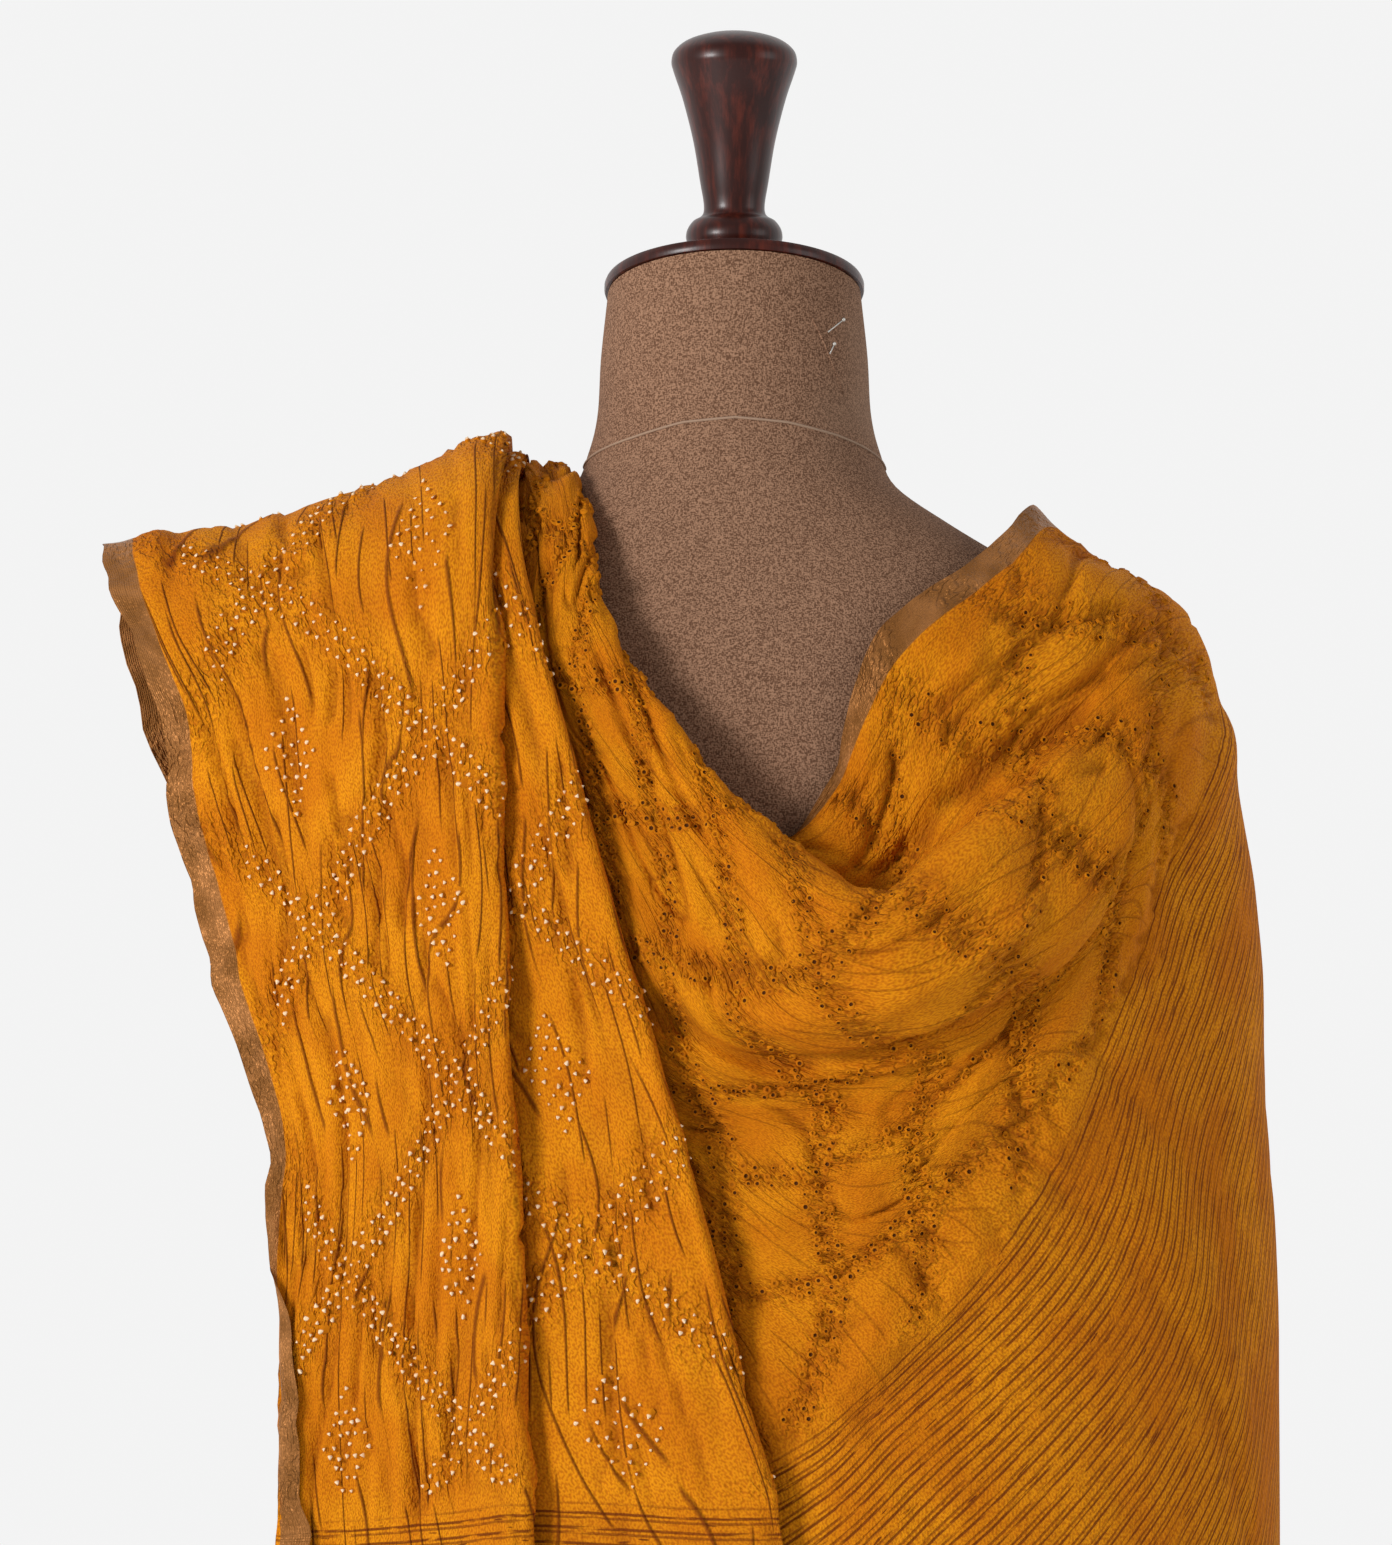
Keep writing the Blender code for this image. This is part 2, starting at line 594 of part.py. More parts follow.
def build():
    for old in list(bpy.data.objects):
        bpy.data.objects.remove(old, do_unlink=True)
    cloth_finish = material("tie_dyed_cloth", MARIGOLD, 0.8)
    linen = material("linen", LINEN, 0.9)
    wood = material("dark_wood", DARK_WOOD, 0.35)

    body = form_mesh()
    form = BVHTree.FromBMesh(body)
    add_object("form_body", body, linen)
    add_cloth(form, cloth_finish)

    cap_height = NECK_TOP - CAP_SHIFT * math.tan(CAP_TILT)
    cap = turned_mesh(
        (
            (0, PIECE_GAP),
            (CAP_RADIUS - 1.5, PIECE_GAP),
            (CAP_RADIUS, PIECE_GAP + 1.5),
            (CAP_RADIUS, CAP_THICKNESS - 2),
            (CAP_RADIUS - 2, CAP_THICKNESS),
            (0, CAP_THICKNESS),
        ),
        32,
    )
    cap_object = add_object("neck_cap", cap, wood)
    cap_object.location = (0, CAP_SHIFT * MM, cap_height * MM)
    cap_object.rotation_euler = (-CAP_TILT, 0, 0)

    finial = turned_mesh(
        (
            (0, FINIAL_FOOT), (20, FINIAL_FOOT), (20, 1032), (21, 1036), (20.5, 1041), (18, 1045),
            (13.8, 1047), (13.6, 1052), (15, 1062), (18, 1080), (22.5, 1098), (26.5, 1110),
            (27.4, 1115), (26, 1119), (20, 1124), (10, 1127), (0, 1128),
        ),
        18,
    )
    cap_top = cap_height + (CAP_THICKNESS + PIECE_GAP) / math.cos(CAP_TILT)
    for vertex in finial.verts:
        if vertex.co.z < (FINIAL_FOOT + 1) * MM:
            slope = (vertex.co.y - CAP_SHIFT * MM) * math.tan(CAP_TILT)
            vertex.co.z = cap_top * MM - slope
    add_object("finial", finial, wood)

    post = turned_mesh(
        (
            (0, FOOT_HEIGHT + PIECE_GAP), (34, FOOT_HEIGHT + PIECE_GAP),
            (34, FOOT_HEIGHT + 8), (24, FOOT_HEIGHT + 16), (POST_RADIUS, FOOT_HEIGHT + 30),
            (POST_RADIUS, 270), (22, 284), (PLATE_RADIUS, 290),
            (PLATE_RADIUS, TORSO_BOTTOM - PLATE_HEIGHT + 6),
            (PLATE_RADIUS - 3, TORSO_BOTTOM - PIECE_GAP), (0, TORSO_BOTTOM - PIECE_GAP),
        ),
        18,
    )
    add_object("post", post, wood)

    foot = turned_mesh(
        (
            (0, 0), (FOOT_RADIUS - 2, 0), (FOOT_RADIUS, 2), (FOOT_RADIUS, 12),
            (FOOT_RADIUS - 5, 18), (FOOT_RADIUS - 30, 21), (60, FOOT_HEIGHT), (0, FOOT_HEIGHT),
        ),
        36,
    )
    add_object("foot", foot, wood)


build()
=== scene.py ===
"""Looks of a tie-dyed (bandhani) cloth draped over the back of a dress form.

The cloth is one thin sheet laid over the form by the same short tables as its solid, then
given its tied points, crinkle, borders and stripes. The form gets its linen cover, neck seam
and turned wood. Works as an add-on: one operator for each group of pieces, one panel.
"""

import math

import bmesh
import bpy
import numpy as np
from mathutils import Matrix, Vector
from mathutils.bvhtree import BVHTree


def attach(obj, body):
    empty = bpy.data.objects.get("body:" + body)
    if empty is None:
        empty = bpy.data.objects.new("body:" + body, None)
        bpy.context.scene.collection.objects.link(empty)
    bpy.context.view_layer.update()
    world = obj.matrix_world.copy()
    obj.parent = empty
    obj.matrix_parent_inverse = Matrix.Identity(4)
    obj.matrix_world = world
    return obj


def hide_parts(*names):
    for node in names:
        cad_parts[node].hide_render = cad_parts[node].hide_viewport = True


bl_info = {
    "name": "Bandhani cloth on a dress form",
    "version": (1, 0, 0),
    "blender": (4, 5, 0),
    "location": "View3D > Sidebar > Bandhani",
    "description": "Builds the draped tie-dyed cloth, the dress form's finish and the studio",
    "category": "Object",
}

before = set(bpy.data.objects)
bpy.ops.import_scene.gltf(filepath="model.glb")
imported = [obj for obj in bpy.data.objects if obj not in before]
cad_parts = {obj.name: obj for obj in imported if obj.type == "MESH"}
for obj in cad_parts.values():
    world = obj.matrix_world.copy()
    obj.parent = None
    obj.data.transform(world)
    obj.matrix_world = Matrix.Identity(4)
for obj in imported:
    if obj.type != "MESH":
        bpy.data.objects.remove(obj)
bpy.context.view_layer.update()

MM = 0.001

# The cloth as it is worn, with its tied crinkle left in.
CLOTH_WIDTH = 630
FALL_LENGTH = 810
WRAP_LENGTH = 810
LAYER_STEP = 5.0
LAYER_GAP = 4.5
CLOTH_CLEARANCE = 3.2
SETTLE = 1.9
SHOULDER_AXIS = 850

# The dress form and its stand.
RING_SIDES = 28
RING_STEPS = 24
CAP_TILT = math.radians(15)
CAP_RADIUS = 57
CAP_THICKNESS = 6
CAP_SHIFT = -1.5
FINIAL_FOOT = 1018
POST_RADIUS = 16
FOOT_RADIUS = 165
FOOT_HEIGHT = 24
PLATE_RADIUS = 60
PLATE_HEIGHT = 12
PIECE_GAP = 0.3
TORSO_BOTTOM = 312
NECK_TOP = 1012

# Rings of the form from the neck down: heights at side, back and front, then half width,
# depth of the back and depth of the front.
FORM_RINGS = (
    # side, back, front, half_width, back_depth, front_depth
    (NECK_TOP, NECK_TOP + 15, NECK_TOP - 14.2, 55.5, 56, 53),
    (985, 994, 966, 58.5, 57, 53),
    (960, 970, 932, 60, 58, 53),
    (943, 955, 905, 64, 61, 54),
    (928, 938, 884, 71, 66, 56),
    (912, 918, 864, 94, 72, 59),
    (896, 898, 844, 121, 79, 61),
    (879, 878, 824, 152, 86, 63),
    (864, 860, 806, 177, 92, 66),
    (845, 840, 788, 187, 97, 72),
    (812, 810, 765, 187, 103, 82),
    (765, 765, 738, 174, 107, 100),
    (700, 700, 695, 158, 106, 112),
    (640, 640, 640, 146, 98, 106),
    (590, 590, 590, 129, 88, 94),
    (545, 545, 545, 121, 82, 90),
    (490, 490, 490, 134, 92, 93),
    (420, 420, 420, 156, 109, 99),
    (350, 350, 350, 168, 118, 102),
    (TORSO_BOTTOM, TORSO_BOTTOM, TORSO_BOTTOM, 165, 116, 100),
)
BUST = {"side": 82, "height": 705, "spread": 50, "rise": 17}

# The envelope that the cloth hangs on: the form's back and front with the hollows bridged.
HANG_ROWS = (
    # height, reach, back_depth, front_depth
    (945, 66, 60, 52),
    (925, 84, 70, 56),
    (905, 118, 78, 60),
    (885, 158, 86, 64),
    (865, 190, 93, 70),
    (840, 203, 100, 78),
    (800, 214, 107, 92),
    (750, 223, 111, 112),
    (700, 226, 112, 126),
    (600, 230, 112, 124),
    (400, 230, 120, 114),
    (120, 232, 122, 112),
)
HANG_ROUNDNESS = 2.2

# The fall, by the distance down the cloth from the top of the shoulder. Each x is where a fold
# of the flattened pleats lies.
FALL_STOPS = (0, 18, 215, 330, 505, 630)
FALL_LAYERS = (3, 3, 3, 2, 1, 0)
FALL_ROWS = (
    # drop, selvedge, turn, first_edge, first_tuck, second_edge, second_tuck, flare
    (0, -278, -260, -97, -190, -87, -172, 0),
    (25, -276, -258, -98, -190, -88, -172, 3),
    (50, -272, -254, -98, -190, -89, -172, -4),
    (75, -264, -247, -98, -188, -87, -170, -5),
    (102, -258, -242, -98, -185, -83, -166, 4),
    (128, -244, -228, -98, -181, -77, -160, 7),
    (154, -243, -226, -98, -178, -69, -155, -5),
    (188, -236, -219, -98, -175, -60, -150, 5),
    (222, -226, -209, -97, -173, -50, -145, -5),
    (261, -218, -201, -95, -170, -40, -140, 5),
    (298, -202, -188, -94, -168, -28, -134, -3),
    (328, -198, -187, -93, -166, -20, -130, 3),
    (356, -194, -190, -92, -165, -12, -126, 2),
    (390, -185, -192, -90, -164, -3, -120, 0),
    (430, -180, -194, -88, -163, 7, -113, 0),
    (474, -178, -196, -83, -160, 20, -105, 0),
    (640, -178, -200, -78, -158, 34, -94, 0),
    (FALL_LENGTH, -182, -205, -72, -155, 47, -86, 0),
)
CURL_START, CURL_END = 285, 400
CURL_STEP = 6.0
CURL_LINES = (0, 13, 23, 38)
FALL_PROFILE = (
    # drop, depth behind the shoulder line, height lost
    (0, 0, 0),
    (25, 23, 3),
    (50, 44, 14),
    (75, 61, 30),
    (102, 73, 51),
    (154, 88, 100),
    (222, 100, 166),
    (328, 112, 271),
    (474, 118, 417),
    (FALL_LENGTH, 121, 753),
)
FALL_REACH = 330
CREST_LINE = (
    # x, height of the lowest layer of the fall where it goes over the shoulder
    (-280, 891),
    (-238, 895),
    (-196, 905),
    (-144, 912),
    (-114, 919),
    (-97, 924),
    (-70, 923),
)

# The loop over the front of the left shoulder, from the fall's side to the wrap's side. The
# flap is the strip beyond the last fold: how far it reaches from the fold, and how far it
# stands out from the sheet while it swings from one side of the fold to the other.
LOOP_LINES = (203, 227, 318, 342, 505, 630)
LOOP_LIFTS = (15, 12, 8, 5, 3.5, 0)
LOOP_OPENING = {"middle": -127, "share": 0.45}
LOOP_ROWS = (
    # depth in front, height lost, share of the wrap's arrangement, flap reach, flap stand
    (26, 8, 0.0, -85, 0),
    (50, 28, 0.03, -78, 0),
    (76, 62, 0.08, -62, -4),
    (103, 100, 0.14, -40, -7),
    (123, 145, 0.22, -16, -10),
    (142, 195, 0.3, 6, -10),
    (157, 240, 0.4, 22, -7),
    (159, 262, 0.45, 28, -4),
    (149, 274, 0.5, 30, 0),
    (135, 262, 0.55, 30, 0),
    (124, 240, 0.6, 28, 3),
    (110, 195, 0.7, 19, 6),
    (95, 145, 0.78, 7, 9),
    (80, 100, 0.85, -7, 11),
    (62, 62, 0.92, -19, 11),
    (41, 28, 0.97, -28, 8),
    (20, 8, 1.0, -34, 6),
)

# The wrap. Each column is one line along the cloth, counted from the upper selvedge, and each
# row one section across it. A place is (x, height, lift off the envelope), behind the form
# unless the row says how many of its first places have gone over to the front.
WRAP_LINES = (0, 50, 90, 125, 190, 270, 360, 460, 560, 630)
WRAP_ROWS = (
    # from_shoulder, places in front, (selvedge, inner, valley, ridge, roll, fold, ...)
    (45, 0, ((-78, 900, 3), (-72, 897, 4), (-66, 894, 7), (-62, 892, 14), (-76, 888, 18),
             (-92, 883, 16), (-112, 878, 13), (-133, 870, 10), (-155, 862, 8), (-180, 850, 6))),
    (110, 0, ((-62, 840, 4), (-52, 839, 6), (-45, 839, 10), (-41, 841, 20), (-58, 828, 22),
              (-76, 819, 18), (-99, 811, 14), (-125, 804, 11), (-152, 797, 9), (-176, 790, 7))),
    (170, 0, ((5, 772, 3), (0, 776, 11), (-1, 780, 21), (3, 786, 31), (-13, 769, 33),
              (-35, 754, 26), (-63, 742, 20), (-95, 732, 15), (-130, 724, 11), (-158, 718, 8))),
    (235, 0, ((49, 818, 3), (54, 784, 5), (58, 741, 9), (59, 749, 46), (39, 711, 50),
              (9, 690, 34), (-30, 678, 27), (-72, 670, 19), (-112, 664, 13), (-142, 660, 8))),
    (290, 0, ((68, 863, 3), (77, 819, 5), (89, 774, 10), (104, 778, 34), (99, 724, 47),
              (71, 685, 29), (19, 659, 32), (-34, 646, 24), (-84, 640, 16), (-122, 638, 9))),
    (340, 0, ((106, 893, 4), (118, 862, 5), (131, 825, 7), (142, 812, 16), (149, 756, 33),
              (110, 700, 26), (55, 640, 36), (6, 608, 30), (-55, 598, 19), (-102, 597, 10))),
    (390, 1, ((134, 902, 9), (155, 889, 9), (170, 872, 7), (181, 846, 8), (178, 791, 14),
              (148, 722, 20), (97, 649, 34), (47, 580, 35), (-30, 548, 23), (-86, 546, 12))),
    (450, 4, ((136, 847, 6), (168, 860, 7), (186, 862, 8), (202, 846, 6), (200, 776, 8),
              (170, 705, 14), (135, 621, 28), (68, 549, 34), (-9, 493, 25), (-75, 480, 13))),
    (570, 5, ((122, 738, 6), (158, 752, 8), (188, 757, 8), (212, 748, 7), (226, 735, 6),
              (220, 640, 7), (200, 543, 17), (130, 449, 27), (33, 382, 25), (-47, 362, 14))),
    (690, 6, ((112, 620, 8), (150, 636, 10), (184, 638, 10), (210, 628, 9), (229, 614, 8),
              (236, 548, 7), (226, 444, 11), (180, 343, 21), (74, 268, 23), (-10, 247, 14))),
    (WRAP_LENGTH, 6, ((106, 503, 10), (146, 516, 12), (184, 518, 12), (210, 508, 11),
                      (228, 496, 10), (239, 444, 10), (236, 334, 9), (208, 236, 15),
                      (118, 160, 21), (30, 136, 14))),
)
WRAP_CREST = (
    # the same lines over the shoulder: x, depth, height
    (-104, 1, 911), (-95, 1, 915), (-86, 0, 921), (-76, -1, 929), (-87, -2, 932),
    (-99, -1, 925), (-114, 0, 917), (-134, 0, 904), (-156, 0, 891), (-178, 0, 879),
)
GATHER_WAVE = {"length": 74, "height": 2.5, "gone_at": 200}

# Lines of the cloth's mesh, closer where it folds.
COLUMNS = (
    0, 13, 23, 38, 76, 116, 160, 203, 215, 227, 256, 287, 318, 330, 342, 378, 414, 446, 474, 505,
    528, 562, 596, 630,
)
ROW_SPACING = 31
ROW_SPACING_TURN = 16
FALL_SECTIONS = ((FALL_LENGTH, 160, 20), (128, 0, 6))
WRAP_SECTIONS = 28

# The sheet's fine mesh: spacing of its columns, then of its rows from each start on, the
# form's sides and rings that it is kept off, and the least distance from them.
COLUMN_STEP = 2.75
ROW_STEPS = ((0, 12), (330, 4.3), (865, 12), (1410, 3.4), (2110, 7))
FINE_RINGS = (112, 110)
LEAST_GAP = 0.9

# The cloth's woven and tied pattern, by distance across and along it, from the hem of the
# fall. The fall shows one face of the cloth and the wrap the other: they change over at the
# foot of the loop.
STRIPES_BELOW = 343
STRIPES_BEYOND = 1950
STRIPE_PITCH = 6.2
BORDER_WIDTH = 15
PATTERN_MARGIN = 36
FALL_CREST = 801
LOOP_FOOT = 1118
WRAP_START = 1400
FACE_TURN = (1020, 1240)
FIELD_EDGE = 12

# Folds that lie under others, across the cloth: no points are tied there in the scene, and
# the crinkle is pressed nearly flat.
HIDDEN_FOLD = (222, 322)
HIDDEN_BEYOND = 512
COVERED_FOLD = (222, 335)
COVERED_BEYOND = (498, 508)
COVERED_PRESS = 0.75

# Lattices of tied rows: two sets of lines, each by its spacing across and along the cloth
# and its start, then the places of the rows beside a line and the pitch of the points.
FALL_LATTICE = {
    "lines": ((184, 143, 0.55), (184, -143, 0.30)), "rows": (-5.4, 0, 5.4), "pitch": 6.8,
}
WRAP_LATTICE = {
    "lines": ((74, 54, 0.55), (250, -75, 0.5)), "rows": (-4.8, 0, 4.8), "pitch": 5.6,
}
MOTIF_SIDE = 6
MOTIF_STEP = (3.3, 4.8)

# Tied points: rings of each kind by sides, radius, height and how far towards the tip or the
# pit, then how much they turn and droop, and the seeds of their places and of their shapes.
# They lie on these runs of the cloth, fewer where they rub at the fall's crest.
POINT_RUNS = {
    "peak": (STRIPES_BELOW + 8, LOOP_FOOT), "pit": (WRAP_START + 20, STRIPES_BEYOND - 8),
}
KNOTS = {
    "peak": {
        "rings": (
            (6, 2.2, -0.5, 0.0), (6, 1.1, 0.7, 0.0), (3, 1.05, 1.2, 0.8), (3, 0.4, 1.9, 1.0),
        ),
        "turn": 0.5, "droop": 0.35, "seeds": (61, 71),
    },
    "pit": {
        "rings": (
            (6, 1.9, -0.4, 0.0), (6, 1.3, 0.9, 0.0), (6, 0.8, 0.3, 0.8), (6, 0.3, 0.1, 1.0),
        ),
        "turn": 2.0, "droop": 0.0, "seeds": (62, 72),
    },
}
KNOT_SIZES = (0.6, 1.1)
KNOT_LEAN = 0.4
KNOT_CLEARNESS = (0.62, 1.0)
# Pits clearer than the first of these keep their full painted shade; the rest get the second.
DARK_PITS_ABOVE = 0.8
PALE_PITS = 0.56
POINT_SCATTER = 0.6
CREST_WORN = {"reach": 24, "kept": 0.35}
PITS_KEPT = 0.85
KEPT_SEED = 81

# The fine creases, sunk in the relief and darkened in the colour as painted shade: layers by gap,
# width and share, then where along the cloth they fade in and out, in metres, and the pitch of
# the borders' ribs.
CREASE_LAYERS = ((0.019, 0.0014, 0.47), (0.011, 0.001, 0.52))
CREASED_FALL = (1.1, 1.0)
CREASED_WRAP = ((1.3, 1.4), (1.98, 1.92))
RIB_PITCH = 0.0011

# Every colour of the object, as screens show it.
SRGB = {
    "marigold": (198, 114, 3),
    "marigold_light": (214, 134, 8),
    "marigold_deep": (158, 76, 1),
    # painted shade in the hollows of the crinkle and along the fine creases
    "crease_shade": (96, 34, 0),
    "stripe": (98, 36, 4),
    "zari": (168, 112, 62),
    "zari_dark": (134, 86, 40),
    "tip": (234, 206, 170),
    # painted shade in the hollow of each sunk point
    "pit": (70, 34, 6),
    "linen": (156, 119, 94),
    "linen_dark": (98, 68, 50),
    "seam": (156, 128, 106),
    "wood": (46, 14, 8),
    "wood_light": (84, 30, 17),
    "steel": (214, 210, 202),
    "paper": (240, 240, 240),
}

# Places where the sheet stands off its drape: middle and reach along it, middle and reach
# across it, and the way that it moves, all in millimetres.
STANDS = (
    (1893, 24, 640, 36, (3, -2, 13)),
    (1915, 20, 640, 40, (4, -4, 9)),
    (1805, 56, 640, 26, (-6, -3, 7)),
    (1935, 16, 560, 46, (2, 0, 5)),
    (1962, 13, 470, 40, (3, 0, 3)),
)

# Creases and ridges laid one by one: height, width, then places across and along the cloth.
FALL_CREASES = (
    (-3.4, 2.4, (112, 750), (115, 731), (116, 715)),
    (-3.2, 2.4, (165, 723), (165, 707), (174, 691)),
    (-2.8, 2.2, (66, 707), (73, 678)),
    (-3.2, 2.2, (93, 701), (94, 677)),
    (-3.0, 2.2, (111, 696), (106, 676)),
    (-3.4, 2.4, (41, 672), (54, 647), (57, 616)),
    (-4.0, 2.6, (136, 688), (141, 663), (132, 640)),
    (-3.2, 2.3, (104, 650), (107, 616)),
    (-3.8, 2.5, (140, 637), (147, 610), (140, 587)),
    (-2.8, 2.2, (55, 597), (42, 561)),
    (-3.4, 2.4, (129, 611), (117, 570)),
    (-3.0, 2.2, (158, 582), (151, 554)),
    (-2.6, 2.2, (93, 772), (94, 753)),
    (-3.0, 2.2, (118, 695), (118, 672)),
    (-2.8, 2.4, (73, 550), (69, 486)),
    (-3.4, 2.4, (136, 474), (128, 421)),
    (-3.0, 2.3, (187, 496), (176, 433)),
    (-3.2, 2.3, (91, 440), (84, 394)),
    (-2.6, 2.2, (209, 465), (199, 414)),
    (-3.2, 2.4, (468, 552), (461, 515)),
    (-3.0, 2.4, (492, 644), (482, 600)),
    (-2.6, 2.2, (32, 519), (45, 487)),
    (-3.2, 2.3, (163, 410), (155, 369)),
    (-3.0, 2.4, (482, 495), (480, 463)),
    (-3.0, 2.3, (441, 478), (436, 441)),
    (4.0, 11.0, (213, 300), (213, 690)),
    (3.0, 12.0, (500, 300), (500, 700)),
    (-3.5, 8.0, (348, 300), (348, 700), (342, 740)),
)
WRAP_CREASES = (
    (-7.0, 11.0, (292, 1728), (333, 1747), (345, 1765), (373, 1779), (395, 1795), (398, 1834)),
    (5.6, 12.0, (333, 1716), (396, 1747), (428, 1763), (447, 1782), (453, 1819)),
    (-7.0, 9.0, (550, 1740), (556, 1775), (552, 1814), (545, 1839), (530, 1870)),
    (4.0, 12.0, (512, 1700), (520, 1760), (512, 1815), (500, 1850)),
    (-3.2, 4.0, (572, 1823), (569, 1852)),
    (-3.4, 4.0, (593, 1788), (580, 1839)),
    (-3.4, 3.6, (561, 1744), (585, 1790)),
    (2.4, 4.5, (600, 1770), (590, 1800), (586, 1840)),
    (-3.2, 3.6, (536, 1829), (499, 1846), (488, 1871)),
    (-3.0, 3.0, (283, 1922), (278, 1941), (277, 1960)),
    (-4.0, 13.0, (463, 1945), (430, 1953), (375, 1951), (339, 1953)),
    (-3.6, 4.0, (491, 1618), (473, 1648), (456, 1681)),
    (-3.4, 4.0, (477, 1591), (453, 1640)),
    (-2.8, 3.2, (204, 1947), (214, 1912)),
    (-2.6, 3.4, (185, 1965), (170, 2009)),
    (-3.4, 4.0, (575, 1868), (595, 1913)),
    (-3.2, 3.8, (543, 1868), (533, 1905)),
)

# The form's neck seam, as turn from the back in half turns and height, then the dart and
# the two pins beside it, each place by its distance from the middle and its height. Then
# their radii, the angles past which edges stay sharp, and the turned finial.
NECK_SEAM = (
    (0.0, 955), (0.12, 953), (0.25, 948), (0.5, 936), (0.75, 931), (1.0, 929),
    (1.25, 931), (1.5, 937), (1.75, 947), (1.88, 953), (2.0, 955),
)
NECK_DART = ((33, 999), (38, 989), (42, 979), (45, 972), (47, 967))
NECK_PINS = (((46.8, 999), (40, 993)), ((42.7, 988), (40.7, 983.5)))
SEAM_RADIUS = 0.55
DART_RADIUS = 0.5
PIN_RADIUS = 0.28
PIN_HEAD = 0.85
LINEN_CORNER = math.radians(50)
WOOD_CORNER = math.radians(40)
FINIAL_TOP = 1128
FINIAL_PROFILE = (
    (19.6, 1018.5), (20.4, 1026), (20, 1032), (20.6, 1035), (21.2, 1038), (20.5, 1041.5),
    (18, 1045), (14.6, 1047), (13.4, 1049.5), (13.6, 1054), (15, 1062), (18, 1080),
    (22.5, 1098), (26.5, 1110), (27.6, 1115), (26, 1120), (20, 1124.5), (10, 1127.4),
    (1, FINIAL_TOP),
)

# The camera's frame, the lights, the air and the floor, in metres and watts, and the height
# of the camera's sensor in millimetres.
VIEW = {"x": -0.0168, "z": 0.803, "height": 0.664, "plane": 0.05}
LIGHTS = (
    ("key_light", (-2.1, -2.1, 1.4), 0.8, 75),
    ("side_light", (2.4, -1.2, 1.3), 1.4, 12),
)
STUDIO_AIR = {"behind": 0.9, "before": 0.34}
AIR_FADE = (-0.35, 0.55)
LIGHTS_AIM = (0, 0, 0.8)
FLOOR_RADIUS = 2.6
FLOOR_DROP = 0.0005
SENSOR_HEIGHT = 24


def curve_through(stops, values, at):
    """Smooth curve through values at uneven stops, as a Hermite spline, read at each of at."""
    stops = np.asarray(stops, float)
    values = np.asarray(values, float)
    at = np.clip(np.asarray(at, float), stops[0], stops[-1])
    upright = (-1,) + (1,) * (values.ndim - 1)
    gaps = np.diff(stops).reshape(upright)
    rises = np.diff(values, axis=0) / gaps
    slopes = np.empty_like(values)
    slopes[0], slopes[-1] = rises[0], rises[-1]
    before, after = gaps[:-1], gaps[1:]
    slopes[1:-1] = (rises[:-1] * after + rises[1:] * before) / (before + after)
    index = np.clip(np.searchsorted(stops, at, side="right") - 1, 0, len(stops) - 2)
    step = gaps[index]
    t = (at - stops[index]).reshape(upright) / step
    low, high = values[index], values[index + 1]
    return (
        (2 * t**3 - 3 * t**2 + 1) * low
        + (t**3 - 2 * t**2 + t) * step * slopes[index]
        + (3 * t**2 - 2 * t**3) * high
        + (t**3 - t**2) * step * slopes[index + 1]
    )


def smooth_step(value, start, end):
    t = np.clip((value - start) / (end - start), 0, 1)
    return t * t * (3 - 2 * t)


def envelope_row(height):
    """Reach, back depth and front depth of the envelope at each height."""
    rows = np.array(HANG_ROWS, float)[::-1]
    return [np.interp(height, rows[:, 0], rows[:, k]) for k in (1, 2, 3)]


def bearing(x, height, lift, in_front):
    """Angle round the envelope of a place: 0 behind, a quarter turn at the right side."""
    reach, _, _ = envelope_row(height)
    share = min(1.0, abs(x) / (reach + lift)) ** (HANG_ROUNDNESS / 2)
    angle = math.copysign(math.asin(share), x)
    return math.pi - angle if in_front else angle


def on_envelope(places):
    """Points at (angle, height, lift) places outside the envelope."""
    angle, height, lift = np.moveaxis(places, -1, 0)
    reach, back, front = envelope_row(height)
    power = 2 / HANG_ROUNDNESS
    depth = np.where(np.cos(angle) > 0, -(back + lift), front + lift)
    x = (reach + lift) * np.sign(np.sin(angle)) * np.abs(np.sin(angle)) ** power
    return np.stack([x, depth * np.abs(np.cos(angle)) ** power, height], axis=-1)


def rounded(stops, values, at, softness=7.0):
    """Straight runs between stops with their corners rounded off."""
    offsets = np.linspace(-softness, softness, 7)
    return np.mean([np.interp(at + o, stops, values) for o in offsets], axis=0)


def layer_lift(columns):
    """How far out of the stack each line of the fall lies."""
    stops, levels = [FALL_STOPS[0]], [FALL_LAYERS[0]]
    for stop, level_before, level in zip(FALL_STOPS[1:-1], FALL_LAYERS[1:-1], FALL_LAYERS[2:]):
        stops += [stop - 1, stop + 1]
        levels += [level_before, level]
    stops.append(FALL_STOPS[-1])
    levels.append(FALL_LAYERS[-1])
    return rounded(stops, levels, columns) * LAYER_STEP


def crest_height(x):
    """Height at which the lowest layer of the fall goes over the shoulder."""
    rows = np.array(CREST_LINE, float)
    return np.interp(x, rows[:, 0], rows[:, 1])


def round_off(x):
    """How the depth shrinks towards the sides of the shoulder."""
    return (1 - np.abs(x / FALL_REACH) ** HANG_ROUNDNESS) ** (1 / HANG_ROUNDNESS)


def flap_share(columns):
    """How far each line lies out on the flap beyond the last fold."""
    fold = FALL_STOPS[-2]
    return np.clip((columns - fold) / (CLOTH_WIDTH - fold), 0, 1)


